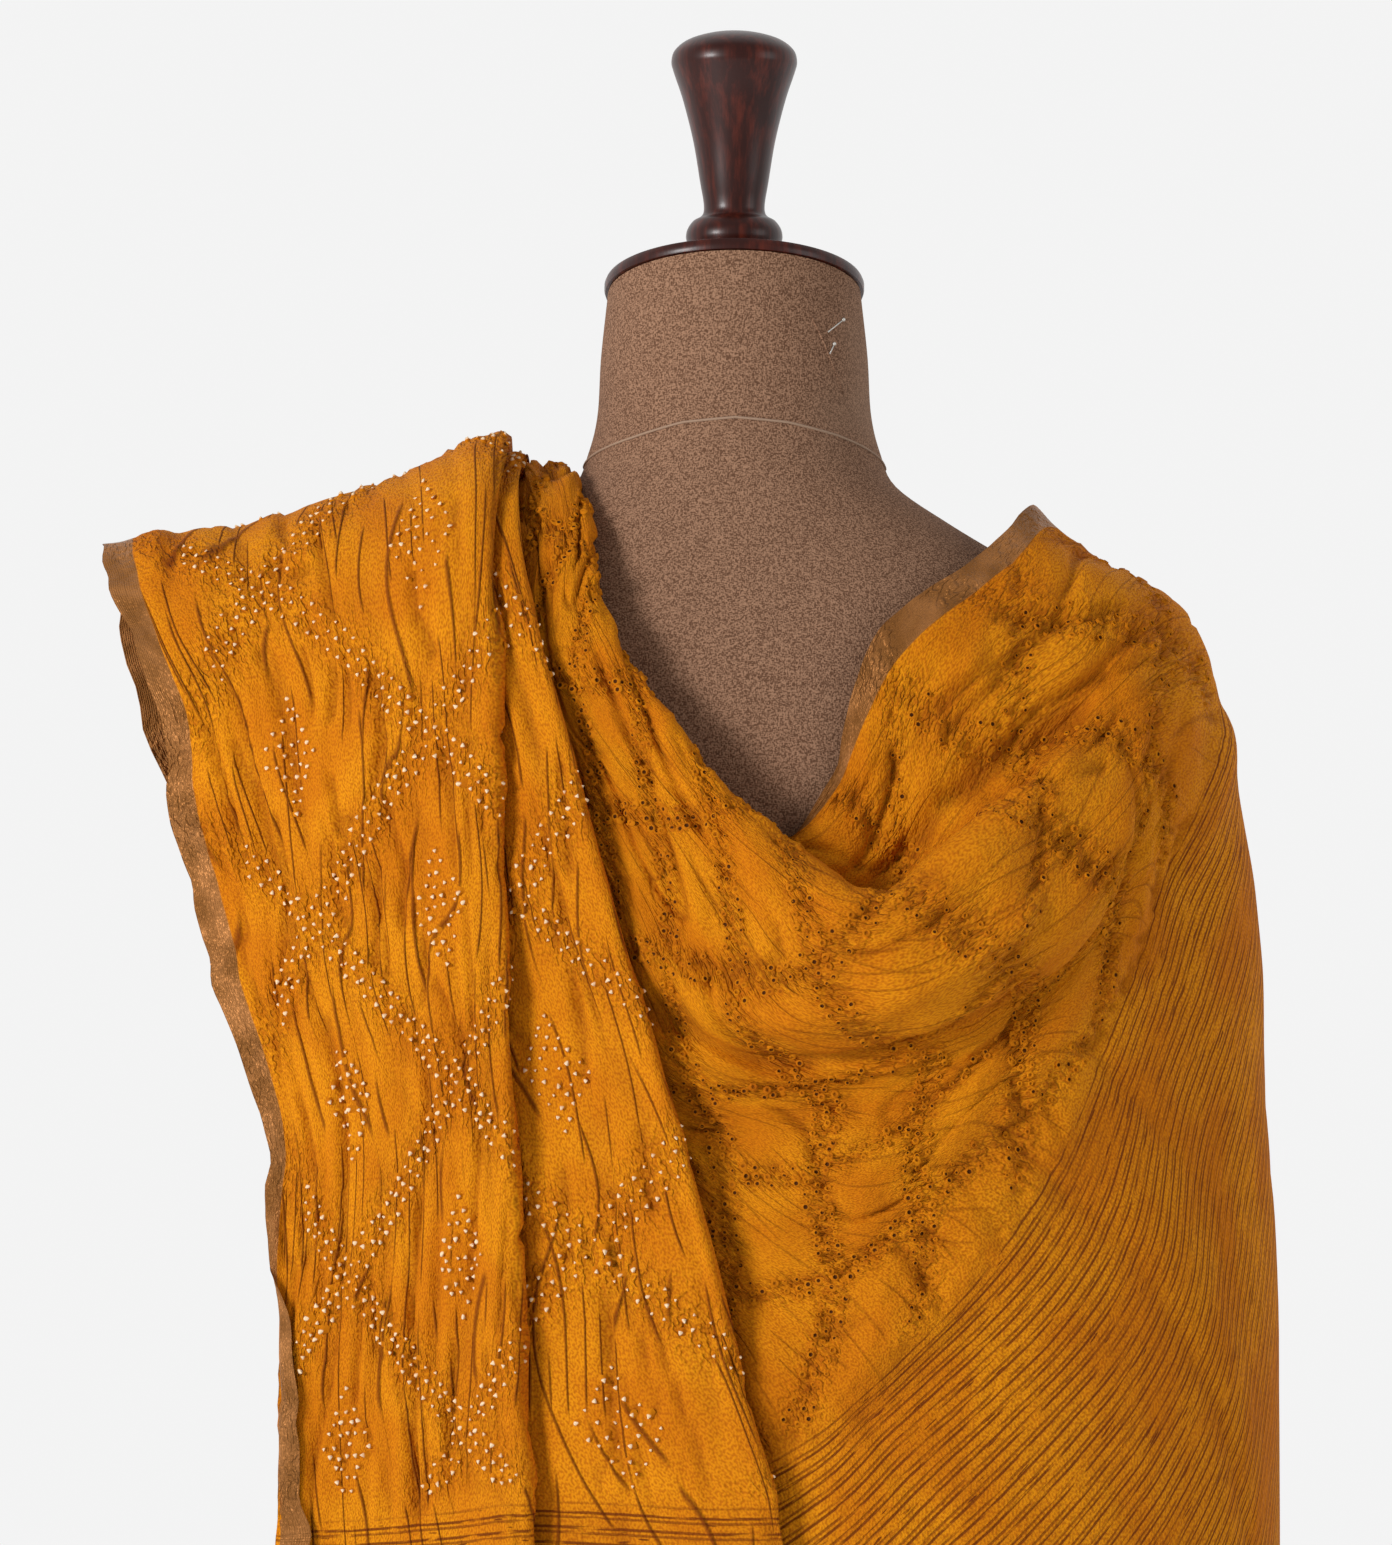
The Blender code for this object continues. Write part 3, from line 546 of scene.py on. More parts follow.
def fall_section(drop, columns):
    """Points across the fall at one distance down from the shoulder, as one layer."""
    row = curve_through([r[0] for r in FALL_ROWS], [r[1:] for r in FALL_ROWS], [drop])[0]
    x = rounded(FALL_STOPS, row[:-1], columns)
    profile = np.array(FALL_PROFILE, float)
    depth, lost = curve_through(profile[:, 0], profile[:, 1:], [drop])[0]
    flare = row[-1] * np.clip(1 - columns / 60, 0, 1)
    level = 1 - smooth_step(drop, 300, FALL_LENGTH)
    crest = crest_height(x) * level + crest_height(-150) * (1 - level)
    return np.stack([x, -(depth + flare) * round_off(x), crest - lost], axis=1)


def fall_lift(drop, columns):
    """How far each line of the fall lies out from its lowest layer."""
    curl = smooth_step(drop, CURL_START, CURL_END) * CURL_STEP
    loose = 0.9 + 0.45 * smooth_step(drop, 0, 100)
    curled = curl * np.interp(columns, CURL_LINES, (1, 0.85, 0.25, 0))
    return layer_lift(columns) * loose + curled


def gather_wave(columns, distance):
    """The shallow pleats into which the wrap is gathered at the shoulder."""
    height = GATHER_WAVE["height"] * (1 - smooth_step(distance, 0, GATHER_WAVE["gone_at"]))
    hidden = smooth_step(CLOTH_WIDTH - columns, 150, 220)
    return height * hidden * np.sin(2 * math.pi * columns / GATHER_WAVE["length"])


def crest_section(columns):
    """Points across the wrap where it goes over the left shoulder."""
    points = curve_through(WRAP_LINES, WRAP_CREST, CLOTH_WIDTH - columns)
    points[:, 2] += gather_wave(columns, 0) + GATHER_WAVE["height"]
    return points


def loop_section(row, columns):
    """Points across the loop in front of the left shoulder, as one layer."""
    depth, lost, share, flap_reach, _ = row
    fall_x = rounded(FALL_STOPS, FALL_ROWS[0][1:-1], columns)
    wrap = crest_section(columns)
    turned = smooth_step(share, 0.0, 0.44)
    opening = 1 + LOOP_OPENING["share"] * math.sin(math.pi * share)
    open_x = LOOP_OPENING["middle"] + (wrap[:, 0] - LOOP_OPENING["middle"]) * opening
    x = (1 - turned) * fall_x + turned * open_x
    flap = flap_share(columns)
    x = np.where(flap > 0, np.interp(FALL_STOPS[-2], columns, x) + flap * flap_reach, x)
    rise = smooth_step(share, 0.5, 1.0)
    crest = (1 - rise) * crest_height(x) + rise * wrap[:, 2]
    return np.stack([x, depth * round_off(x), crest - lost], axis=1)


def loop_lift(row, columns):
    """How far each line of the loop lies out from its lowest layer."""
    share, flap_stand = row[2], row[4]
    out = np.clip((columns - FALL_STOPS[-2]) / 14, 0, 1)
    stand = flap_stand * (flap_share(columns) + out) / 2
    sloped = np.interp(columns, LOOP_LINES, LOOP_LIFTS)
    slope_share = smooth_step(share, 0.0, 0.2)
    lift = (1 - slope_share) * layer_lift(columns) + slope_share * sloped
    return lift * (1 - smooth_step(share, 0.45, 0.95)) + stand


def wrap_sections(columns):
    """Sections of the wrap from the left shoulder to its hem."""
    stops = [row[0] for row in WRAP_ROWS]
    places = [
        [(bearing(x, z, lift, k < in_front), z, lift) for k, (x, z, lift) in enumerate(row)]
        for _, in_front, row in WRAP_ROWS
    ]
    distances = np.linspace(stops[0], stops[-1], WRAP_SECTIONS)
    along = curve_through(stops, places, distances)
    found = []
    for distance, line in zip(distances, along):
        across = on_envelope(curve_through(WRAP_LINES, line, CLOTH_WIDTH - columns))
        across[:, 1] -= gather_wave(columns, distance)
        found.append(across)
    return found


def sections(columns):
    """All sections of the cloth from the hem of the fall to the hem of the wrap.

    Returned with the place of each along the cloth, the lift of each line out of its stack,
    and the numbers of the sections at the two crests and at the foot of the loop.
    """
    drops = np.concatenate([np.linspace(*run) for run in FALL_SECTIONS])
    fall = [fall_section(drop, columns) for drop in drops]
    loop = [loop_section(row, columns) for row in LOOP_ROWS]
    wrap = [crest_section(columns)] + wrap_sections(columns)
    lifts = [fall_lift(drop, columns) for drop in drops]
    lifts += [loop_lift(row, columns) for row in LOOP_ROWS]
    lifts += [columns * 0.0] * len(wrap)
    found = np.array(fall + loop + wrap)
    steps = np.linalg.norm(np.diff(found, axis=0), axis=2)
    lengths = np.concatenate([[0], np.cumsum(np.median(steps, axis=1))])
    turn = len(fall) + max(range(len(loop)), key=lambda k: LOOP_ROWS[k][1])
    return lengths, found, np.array(lifts), (len(fall) - 1, turn, len(fall) + len(loop))


def row_places(lengths, marks):
    """Distances along the cloth of the mesh's rows, closer together where it turns."""
    turns = [lengths[mark] for mark in marks] + [lengths[marks[2]] + 400]
    reaches = (60, 25, 50, 60)
    places = [0.0]
    while places[-1] < lengths[-1]:
        here = places[-1]
        tight = any(abs(here - turn) < reach for turn, reach in zip(turns, reaches))
        places.append(here + (ROW_SPACING_TURN if tight else ROW_SPACING))
    return np.array(places[:-1]) * lengths[-1] / places[-2]


def spread(values):
    """Each value raised to its neighbours' highest, then blurred over the grid."""
    rows, columns = values.shape
    for blend in (np.max,) * 2 + (np.mean,) * 6:
        padded = np.pad(values, 1, mode="edge")
        views = [padded[i : i + rows, j : j + columns] for i in range(3) for j in range(3)]
        values = blend(views, axis=0)
    return values


def axis_point(point):
    """The point of the shoulder's middle line that a place of the cloth hangs away from."""
    return Vector((point.x, 0, min(point.z, SHOULDER_AXIS * MM)))


def laid_over(grid, inner, clearance):
    """The grid moved outward until it clears what lies inside it.

    The amount is found on even steps across, so that all the layers of a pleat move alike.
    """
    steps = np.arange(grid[:, :, 0].min(), grid[:, :, 0].max() + 0.01, 0.01)
    short = np.zeros((len(grid), len(steps)))
    for i, row in enumerate(grid):
        order = np.argsort(row[:, 0])
        line = [np.interp(steps, row[order, 0], row[order, k]) for k in (1, 2)]
        for k, place in enumerate(zip(steps, *line)):
            point = Vector(place)
            middle = axis_point(point)
            away = (point - middle).normalized()
            hit = inner.ray_cast(middle + away * 0.5, -away, 0.5)[0]
            if hit is not None:
                gap = (point - middle).length - (hit - middle).length
                short[i, k] = max(0, clearance - gap)
    short = spread(short)
    result = grid.copy()
    for i, j in np.ndindex(grid.shape[:2]):
        point = Vector(grid[i, j])
        away = (point - axis_point(point)).normalized()
        result[i, j] = point + away * float(np.interp(point.x, steps, short[i]))
    return result


def stacked(grid, lifts):
    """The grid with each line moved out of the stack, square to the way the cloth runs."""
    run = np.gradient(grid, axis=0)
    run = run / np.linalg.norm(run[:, :, 1:], axis=2, keepdims=True)
    result = grid.copy()
    result[:, :, 1] -= run[:, :, 2] * lifts
    result[:, :, 2] += run[:, :, 1] * lifts
    return result


def clear_of(grid, tree, clearance):
    """The grid moved off the form wherever a point or a face's middle lies too close."""
    result = grid.copy()
    rows, columns = grid.shape[:2]
    for _ in range(14):
        push = np.zeros_like(result)
        for i in range(rows - 1):
            for j in range(columns - 1):
                corners = ((i, j), (i + 1, j), (i, j + 1), (i + 1, j + 1))
                tests = [result[c] for c in corners]
                tests += [(tests[0] + tests[3]) / 2, (tests[1] + tests[2]) / 2]
                tests += [(tests[0] + tests[1]) / 2, (tests[0] + tests[2]) / 2]
                for test in tests:
                    point = Vector(test)
                    near, normal, _, _ = tree.find_nearest(point)
                    gap = (point - near).dot(normal)
                    if gap < clearance and (point - near).length < 0.05:
                        wanted = np.array(normal) * (clearance - gap)
                        for c in corners:
                            if np.linalg.norm(wanted) > np.linalg.norm(push[c]):
                                push[c] = wanted
        result += push
        if not push.any():
            break
    return result


def grid_mesh(grid):
    """A sheet of quads over a grid of points."""
    rows, columns = grid.shape[:2]
    mesh = bmesh.new()
    bmesh.ops.create_grid(mesh, x_segments=columns - 1, y_segments=rows - 1, size=0.5)
    for vertex in mesh.verts:
        column = round((vertex.co.x + 0.5) * (columns - 1))
        row = round((vertex.co.y + 0.5) * (rows - 1))
        vertex.co = Vector(grid[row, column])
    return mesh


def cloth_grid(form, columns):
    """Points of the draped cloth in metres, laid over the form and over itself."""
    lengths, found, lifts, marks = sections(columns)
    places = row_places(lengths, marks)
    points = curve_through(lengths, found, places) * MM
    lifts = curve_through(lengths, lifts, places) * MM
    turn = int(np.searchsorted(places, lengths[marks[1]]))
    clearance = CLOTH_CLEARANCE * MM
    inside = clear_of(stacked(points, lifts)[turn:], form, clearance)
    under = grid_mesh(inside[2:])
    lowest = clear_of(points[:turn], form, clearance)
    lowest = laid_over(lowest, BVHTree.FromBMesh(under), LAYER_GAP * MM)
    under.free()
    whole = np.concatenate([lowest, points[turn:]])
    grid = np.concatenate([stacked(whole, lifts)[:turn], inside])
    grid[:, :, 2] -= SETTLE * MM
    return grid, places


def ring_edges(mesh, ring):
    """The edges of a ring that was just laid."""
    return [edge for edge in mesh.edges if all(vertex in ring for vertex in edge.verts)]


def join_rings(mesh, loops):
    """Faces from each ring of edges to the next."""
    for first, second in zip(loops, loops[1:]):
        bmesh.ops.bridge_loops(mesh, edges=first + second)


def form_mesh(sides, steps):
    """The covered body of the form as one closed shell of stacked rings."""
    table = np.array(FORM_RINGS, float)
    rows = curve_through(range(len(table)), table, np.linspace(0, len(table) - 1, steps))
    mesh = bmesh.new()
    loops = []
    for side, back, front, half_width, back_depth, front_depth in rows:
        ring = bmesh.ops.create_circle(mesh, segments=sides, radius=1)["verts"]
        for vertex in ring:
            across, along = vertex.co.x, vertex.co.y
            depth = front_depth if along > 0 else back_depth
            far = front if along > 0 else back
            bend = 1 + min(1, (FORM_RINGS[0][0] - side) / 60)
            height = side + (far - side) * abs(along) ** bend
            x, y = half_width * across, depth * along
            if along > 0:
                away = ((abs(x) - BUST["side"]) ** 2 + (height - BUST["height"]) ** 2) ** 0.5
                y += BUST["rise"] * math.exp(-((away / BUST["spread"]) ** 2))
            vertex.co = Vector((x, y, height)) * MM
        loops.append(ring_edges(mesh, ring))
    join_rings(mesh, loops)
    bmesh.ops.holes_fill(mesh, edges=mesh.edges[:], sides=sides)
    bmesh.ops.recalc_face_normals(mesh, faces=mesh.faces[:])
    return mesh


def turned_mesh(profile, sides):
    """A closed turned piece from (radius, height) pairs, first and last on the axis."""
    mesh = bmesh.new()
    points = [mesh.verts.new(Vector((radius, 0, height)) * MM) for radius, height in profile]
    edges = [mesh.edges.new(pair) for pair in zip(points, points[1:])]
    bmesh.ops.spin(
        mesh, geom=points + edges, cent=(0, 0, 0), axis=(0, 0, 1),
        angle=2 * math.pi, steps=sides, use_merge=True,
    )
    bmesh.ops.remove_doubles(mesh, verts=mesh.verts[:], dist=0.00001)
    bmesh.ops.recalc_face_normals(mesh, faces=mesh.faces[:])
    return mesh


def linear(name):
    """A named colour as linear RGBA."""
    channels = [c / 255 for c in SRGB[name]]
    return tuple(
        c / 12.92 if c <= 0.04045 else ((c + 0.055) / 1.055) ** 2.4 for c in channels
    ) + (1.0,)


def dyed(dye, name):
    """A shade of the cloth's dye, as a named colour stands to the marigold one. For the colour of
    the creases it is painted shade.
    """
    usual = zip(dye, linear(name), linear("marigold"))
    return tuple(min(part * own / base, 1.0) for part, own, base in usual) + (1.0,)


def value_noise(u, v, cell_u, cell_v, seed):
    """Smooth noise from -1 to 1 with cells of the given size."""
    rng = np.random.default_rng(seed)
    x, y = u / cell_u, v / cell_v
    x0, y0 = np.floor(x).astype(int), np.floor(y).astype(int)
    table = rng.uniform(-1, 1, (x0.max() - x0.min() + 2, y0.max() - y0.min() + 2))
    i, j = x0 - x0.min(), y0 - y0.min()
    fx, fy = x - x0, y - y0
    fx, fy = fx * fx * (3 - 2 * fx), fy * fy * (3 - 2 * fy)
    low = table[i, j] * (1 - fx) + table[i + 1, j] * fx
    high = table[i, j + 1] * (1 - fx) + table[i + 1, j + 1] * fx
    return low * (1 - fy) + high * fy


def puffs(u, v, cell_u, cell_v, seed):
    """Soft swellings parted by sharp creases, from 0 in a crease to 1."""
    return np.abs(value_noise(u, v, cell_u, cell_v, seed)) ** 0.7


def band(value, start, end, soft):
    """One between start and end, falling to nothing over a soft edge."""
    return smooth_step(value, start - soft, start) * (1 - smooth_step(value, end, end + soft))


def line_distance(lattice, u, v):
    """Distance from each place to the nearest line of a lattice."""
    nearest = np.full(np.shape(u), 1000.0)
    for across, along, start in lattice["lines"]:
        turns = u / across + v / along - start
        spacing = 1 / math.hypot(1 / across, 1 / along)
        nearest = np.minimum(nearest, np.abs((turns + 0.5) % 1 - 0.5) * spacing)
    return nearest


def lattice_points(lattice, v_from, v_to):
    """Tied points in rows along the crossing lines of a lattice."""
    found = []
    for across, along, start in lattice["lines"]:
        run = np.array([-across, along]) / math.hypot(across, along)
        run *= math.copysign(1, run[1])
        out = np.array([run[1], -run[0]])
        turns = [u / across + v / along - start for u in (0, CLOTH_WIDTH) for v in (v_from, v_to)]
        for k in range(math.floor(min(turns)), math.ceil(max(turns)) + 1):
            first = np.array([(k + start - v_from / along) * across, v_from])
            for number, offset in enumerate(lattice["rows"]):
                steps = np.arange(0, (v_to - v_from) / run[1], lattice["pitch"])
                steps = steps + lattice["pitch"] / 2 * (number % 2)
                found.append(first + np.outer(steps, run) + offset * out)
    return np.concatenate(found)


def motif_points(lattice):
    """A tall diamond of tied points in the middle of each cell of a lattice."""
    lines = np.array([[1 / across, 1 / along] for across, along, _ in lattice["lines"]])
    starts = np.array([start for _, _, start in lattice["lines"]])
    sides = np.array([MOTIF_STEP, (-MOTIF_STEP[0], MOTIF_STEP[1])])
    middle = (MOTIF_SIDE - 1) / 2
    found = []
    for i in range(-14, 24):
        for j in range(-14, 24):
            centre = np.linalg.solve(lines, starts + (i + 0.5, j + 0.5))
            for k in range(MOTIF_SIDE):
                for m in range(MOTIF_SIDE):
                    found.append(centre + (k - middle) * sides[0] + (m - middle) * sides[1])
    return np.array(found)


def uneven(points, v_from, v_to, seed):
    """The points inside the patterned field, each a little out of its place."""
    rng = np.random.default_rng(seed)
    points = points + rng.normal(0, POINT_SCATTER, points.shape)
    inside = (points[:, 0] > PATTERN_MARGIN) & (points[:, 0] < CLOTH_WIDTH - PATTERN_MARGIN)
    inside &= (points[:, 1] > v_from) & (points[:, 1] < v_to)
    return points[inside]


def thinned(points, gap):
    """The points without those that lie closer than the gap to an earlier one."""
    kept, cells = [], {}
    for point in points:
        cell = (int(point[0] // gap), int(point[1] // gap))
        near = [
            other
            for i in (-1, 0, 1)
            for j in (-1, 0, 1)
            for other in cells.get((cell[0] + i, cell[1] + j), ())
        ]
        if all(np.hypot(*(point - other)) >= gap for other in near):
            cells.setdefault(cell, []).append(point)
            kept.append(point)
    return np.array(kept)


def crease_lines(u, v, cell_u, cell_v, width, share, seed):
    """Thin winding creases, from 0 beside them to 1 in their floor, on part of the cloth."""
    winding = value_noise(u, v, cell_u, cell_v, seed)
    across = np.gradient(winding, axis=1) / np.gradient(u, axis=1)
    along = np.gradient(winding, axis=0) / np.gradient(v, axis=0)
    distance = np.abs(winding) / np.maximum(np.hypot(across, along), 1e-4)
    patches = value_noise(u, v, cell_u * 2.5, cell_v * 0.8, seed + 500)
    here = smooth_step(patches, 1 - 2 * share, 1.3 - 2 * share)
    return np.exp(-((distance / width) ** 2)) * here


def laid_creases(u, v, table):
    """Creases and ridges laid one by one along short runs of places, in millimetres."""
    height = np.zeros(u.shape)
    for rise, width, *places in table:
        nearest = np.full(u.shape, 1000.0)
        for start, end in zip(places, places[1:]):
            run = np.array(end, float) - start
            share = ((u - start[0]) * run[0] + (v - start[1]) * run[1]) / run.dot(run)
            share = np.clip(share, 0, 1)
            away = np.hypot(u - start[0] - share * run[0], v - start[1] - share * run[1])
            nearest = np.minimum(nearest, away)
        height += rise * np.exp(-((nearest / width) ** 2))
    return height


def crinkle(u, v, covered):
    """Height of the crinkle over the drape in millimetres, and how far each place lies below its
    surroundings, which sets its painted shade.
    """
    on_wrap = smooth_step(v, *FACE_TURN)
    in_field = band(v, STRIPES_BELOW + FIELD_EDGE, STRIPES_BEYOND - FIELD_EDGE, 24)
    wander = value_noise(u, v, 60, 90, 3) * 14

    fall_line = np.exp(-((line_distance(FALL_LATTICE, u, v) / 12) ** 2))
    fall = 2.2 * puffs(u + wander, v, 17, 110, 11) + 2.2 * value_noise(u, v, 40, 130, 13)
    fall += 1.0 * value_noise(u + wander, v, 11, 60, 14)
    fall -= 3.2 * crease_lines(u + wander, v, 20, 120, 1.9, 0.5, 15)
    fall -= 2.4 * crease_lines(u - wander, v, 13, 70, 1.7, 0.5, 16)
    fall -= 0.7 * crease_lines(u, v, 90, 28, 1.8, 0.5, 17)
    crumple = 2.2 * puffs(u, v, 6.5, 12, 41) - 2.2 * crease_lines(u, v, 9, 30, 1.8, 0.85, 42)
    fall += fall_line * crumple + laid_creases(u, v, FALL_CREASES)

    nearest = line_distance(WRAP_LATTICE, u, v)
    wrap_line = np.exp(-((nearest / 8.5) ** 2))
    dome = np.clip(nearest / 20, 0, 1) ** 0.75
    wrap = 5.0 * dome + 3.2 * value_noise(u, v, 80, 60, 23) + 1.3 * value_noise(u, v, 24, 30, 24)
    wrap -= 3.2 * crease_lines(u + v + wander, u - v, 46, 90, 2.4, 0.6, 25)
    wrap -= 1.6 * crease_lines(u - wander, v, 30, 34, 1.9, 0.55, 26)
    ruche = 3.2 * puffs(u, v, 6.0, 7.0, 43) + 1.6 * value_noise(u, v, 5, 6, 44)
    wrap += wrap_line * ruche + laid_creases(u, v, WRAP_CREASES)

    plain = 1.4 * puffs(u + wander, v, 26, 140, 31) + 2.2 * value_noise(u, v, 60, 130, 33)
    plain -= 1.4 * crease_lines(u + wander / 2, v, 46, 420, 2.6, 0.4, 34)

    height = (fall * (1 - on_wrap) + wrap * on_wrap) * in_field + plain * (1 - in_field)
    hem = np.minimum(u, CLOTH_WIDTH - u)
    height = height * smooth_step(hem, 4, 24)
    height += 1.6 * value_noise(u, v, 300, 17, 51) * (1 - smooth_step(hem, 2, 20))
    height = height * (1 - COVERED_PRESS * covered)
    return height * (1 - 2 * on_wrap), sunk_below(height)


def tied_share(u, v):
    """One along the tied rows, falling to nothing in the cells between them."""
    on_wrap = smooth_step(v, *FACE_TURN)
    rows = np.exp(-((line_distance(FALL_LATTICE, u, v) / 13) ** 2)) * (1 - on_wrap)
    rows += np.exp(-((line_distance(WRAP_LATTICE, u, v) / 8) ** 2)) * on_wrap
    return rows * band(v, STRIPES_BELOW + FIELD_EDGE, STRIPES_BEYOND - FIELD_EDGE, 12)


def sunk_below(height):
    """How far each place lies below the middle height of its surroundings, from 0 to 1: the share
    of painted shade in its hollow.
    """
    blurred = height
    rows, columns = height.shape
    for _ in range(4):
        padded = np.pad(blurred, 2, mode="edge")
        shifts = [(i, j) for i in (0, 2, 4) for j in (0, 2, 4)]
        blurred = np.mean([padded[i : i + rows, j : j + columns] for i, j in shifts], axis=0)
    return np.clip((blurred - height - 0.15) / 1.6, 0, 1)


def covered_share(points, u, v):
    """One where other folds of the cloth lie over the sheet, 0 where it shows."""
    fall = 1 - smooth_step(v, FALL_CREST + 20, FALL_CREST + 80)
    under = band(u, *COVERED_FOLD, 8) + smooth_step(u, *COVERED_BEYOND)
    hanging = np.where(v[:, 0] < FALL_CREST)[0]
    edge_x = points[hanging, np.searchsorted(u[0], FALL_STOPS[-2])]
    order = np.argsort(edge_x[:, 2])
    edge = np.interp(points[:, :, 2], edge_x[order, 2], edge_x[order, 0])
    below = 1 - smooth_step(points[:, :, 0] - edge, -0.006, 0.006)
    wrapped = smooth_step(v, WRAP_START, WRAP_START + 40) * (points[:, :, 1] < 0)
    return np.clip(fall * under, 0, 1) * (v < FALL_CREST + 80) + below * wrapped


def fine_surface(height_scale):
    """Fine points of the sheet with its crinkle, and each row's and column's cloth distance."""
    coarse, places = cloth_grid(form_tree(RING_SIDES, RING_STEPS), np.array(COLUMNS, float))
    length = places[-1]
    ends = [start for start, _ in ROW_STEPS[1:]] + [length]
    pieces = [
        np.linspace(start, end, int(round((end - start) / step)), endpoint=False)
        for (start, step), end in zip(ROW_STEPS, ends)
    ]
    rows = np.concatenate(pieces + [[length]])
    columns = np.linspace(0, CLOTH_WIDTH, int(CLOTH_WIDTH / COLUMN_STEP) + 1)
    along = curve_through(places, coarse, rows)
    smooth = curve_through(COLUMNS, along.swapaxes(0, 1), columns).swapaxes(0, 1)
    normals = sheet_normals(smooth)
    u, v = np.meshgrid(columns, rows)
    height, crease_shade_share = crinkle(u, v, covered_share(smooth, u, v))
    points = smooth + normals * (height * height_scale * MM)[:, :, None]
    edge_wave = value_noise(u, v, 400, 24, 52) + 0.5 * value_noise(u, v, 400, 11, 53)
    hem = np.minimum(u, CLOTH_WIDTH - u)
    points = points.copy()
    points[:, :, 0] += 2.6 * MM * edge_wave * (1 - smooth_step(hem, 0, 26))
    for middle_v, reach_v, middle_u, reach_u, way in STANDS:
        share = np.exp(-(((v - middle_v) / reach_v) ** 2) - ((u - middle_u) / reach_u) ** 2)
        points = points + share[:, :, None] * np.array(way) * MM
    points = off_the_form(points, form_tree(*FINE_RINGS))
    return points, rows, columns, crease_shade_share, length


def off_the_form(points, form):
    """The points, moved out where they would come closer to the form than the cloth's lie."""
    result = points.reshape(-1, 3).copy()
    for k, place in enumerate(result):
        point = Vector(place)
        near, normal, _, _ = form.find_nearest(point, 0.02)
        if near is not None:
            gap = (point - near).dot(normal)
            if gap < LEAST_GAP * MM:
                result[k] = point + normal * (LEAST_GAP * MM - gap)
    return result.reshape(points.shape)


def sheet_normals(points):
    """Unit normals of a grid of points, on the outer side of the fall."""
    across = np.gradient(points, axis=1)
    along = np.gradient(points, axis=0)
    normals = np.cross(across, along)
    for _ in range(2):
        padded = np.pad(normals, ((1, 1), (1, 1), (0, 0)), mode="edge")
        normals = (
            padded[:-2, 1:-1] + padded[2:, 1:-1] + padded[1:-1, :-2] + padded[1:-1, 2:]
            + 2 * padded[1:-1, 1:-1]
        )
    return normals / np.maximum(np.linalg.norm(normals, axis=2, keepdims=True), 1e-12)


def mesh_from(name, vertices, faces):
    data = bpy.data.meshes.new(name)
    data.from_pydata(vertices.tolist(), [], faces.tolist())
    data.update()
    return data


def as_mesh(name, shape):
    """A bmesh kept as a mesh, and freed."""
    data = bpy.data.meshes.new(name)
    shape.to_mesh(data)
    shape.free()
    return data


def add_piece(name, data, finish):
    """Link a mesh as a piece of the object with one material."""
    data.materials.append(finish)
    data.shade_smooth()
    made = bpy.data.objects.new(name, data)
    bpy.context.scene.collection.objects.link(made)
    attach(made, "root")
    return made


def set_attribute(data, name, values):
    layer = data.attributes.new(name, "FLOAT", "POINT")
    layer.data.foreach_set("value", np.asarray(values, np.float32).ravel())


def feed(tree, made, inputs):
    """Link a node's inputs to sockets, or set them to values."""
    for key, value in inputs.items():
        if isinstance(value, bpy.types.NodeSocket):
            tree.links.new(value, made.inputs[key])
        else:
            made.inputs[key].default_value = value


def node(tree, kind, inputs=None, **settings):
    """A shader node with its settings, and its inputs given as values or as sockets."""
    made = tree.nodes.new(kind)
    for key, value in settings.items():
        setattr(made, key, value)
    feed(tree, made, inputs or {})
    return made


def blank_material(name):
    made = bpy.data.materials.new(name)
    made.use_nodes = True
    tree = made.node_tree
    return made, tree, tree.nodes["Principled BSDF"]


def sums(tree, operation, *values, clamp=False):
    """A Math node's result."""
    inputs = dict(enumerate(values))
    return node(tree, "ShaderNodeMath", inputs, operation=operation, use_clamp=clamp).outputs[0]


def times(tree, first, second):
    return sums(tree, "MULTIPLY", first, second)


def plus(tree, first, second):
    return sums(tree, "ADD", first, second)


def mixed(tree, share, first, second):
    """Two colours mixed by a share."""
    inputs = {0: share, 6: first, 7: second}
    return node(tree, "ShaderNodeMix", inputs, data_type="RGBA").outputs[2]


def attribute(tree, name):
    """A value that the mesh carries at its points."""
    return node(tree, "ShaderNodeAttribute", attribute_name=name).outputs["Fac"]


def own_place(tree):
    """Object coordinates."""
    return node(tree, "ShaderNodeTexCoord").outputs["Object"]


def relief_normal(tree, height, strength, distance):
    """A normal bumped by a height."""
    inputs = {"Height": height, "Strength": strength, "Distance": distance}
    return node(tree, "ShaderNodeBump", inputs).outputs[0]


def ramp(tree, value, start, end):
    made = node(
        tree, "ShaderNodeMapRange",
        {"Value": value, "From Min": start, "From Max": end}, interpolation_type="SMOOTHSTEP",
    )
    return made.outputs[0]


def noise(tree, vector, scale, detail=3.0, roughness=0.55, dimensions="3D"):
    made = node(
        tree, "ShaderNodeTexNoise",
        {"Vector": vector, "Scale": scale, "Detail": detail, "Roughness": roughness},
        noise_dimensions=dimensions,
    )
    return made.outputs["Fac"]


def cloth_noise(tree, uv, scale, detail=1.0, roughness=0.55):
    """Noise over the cloth's own flat surface."""
    return noise(tree, uv, scale, detail, roughness, "2D")


def stretched(tree, place, across, along, up=1):
    """Places scaled on each axis."""
    scale = (across, along, up)
    return node(tree, "ShaderNodeMapping", {"Vector": place, "Scale": scale}).outputs[0]


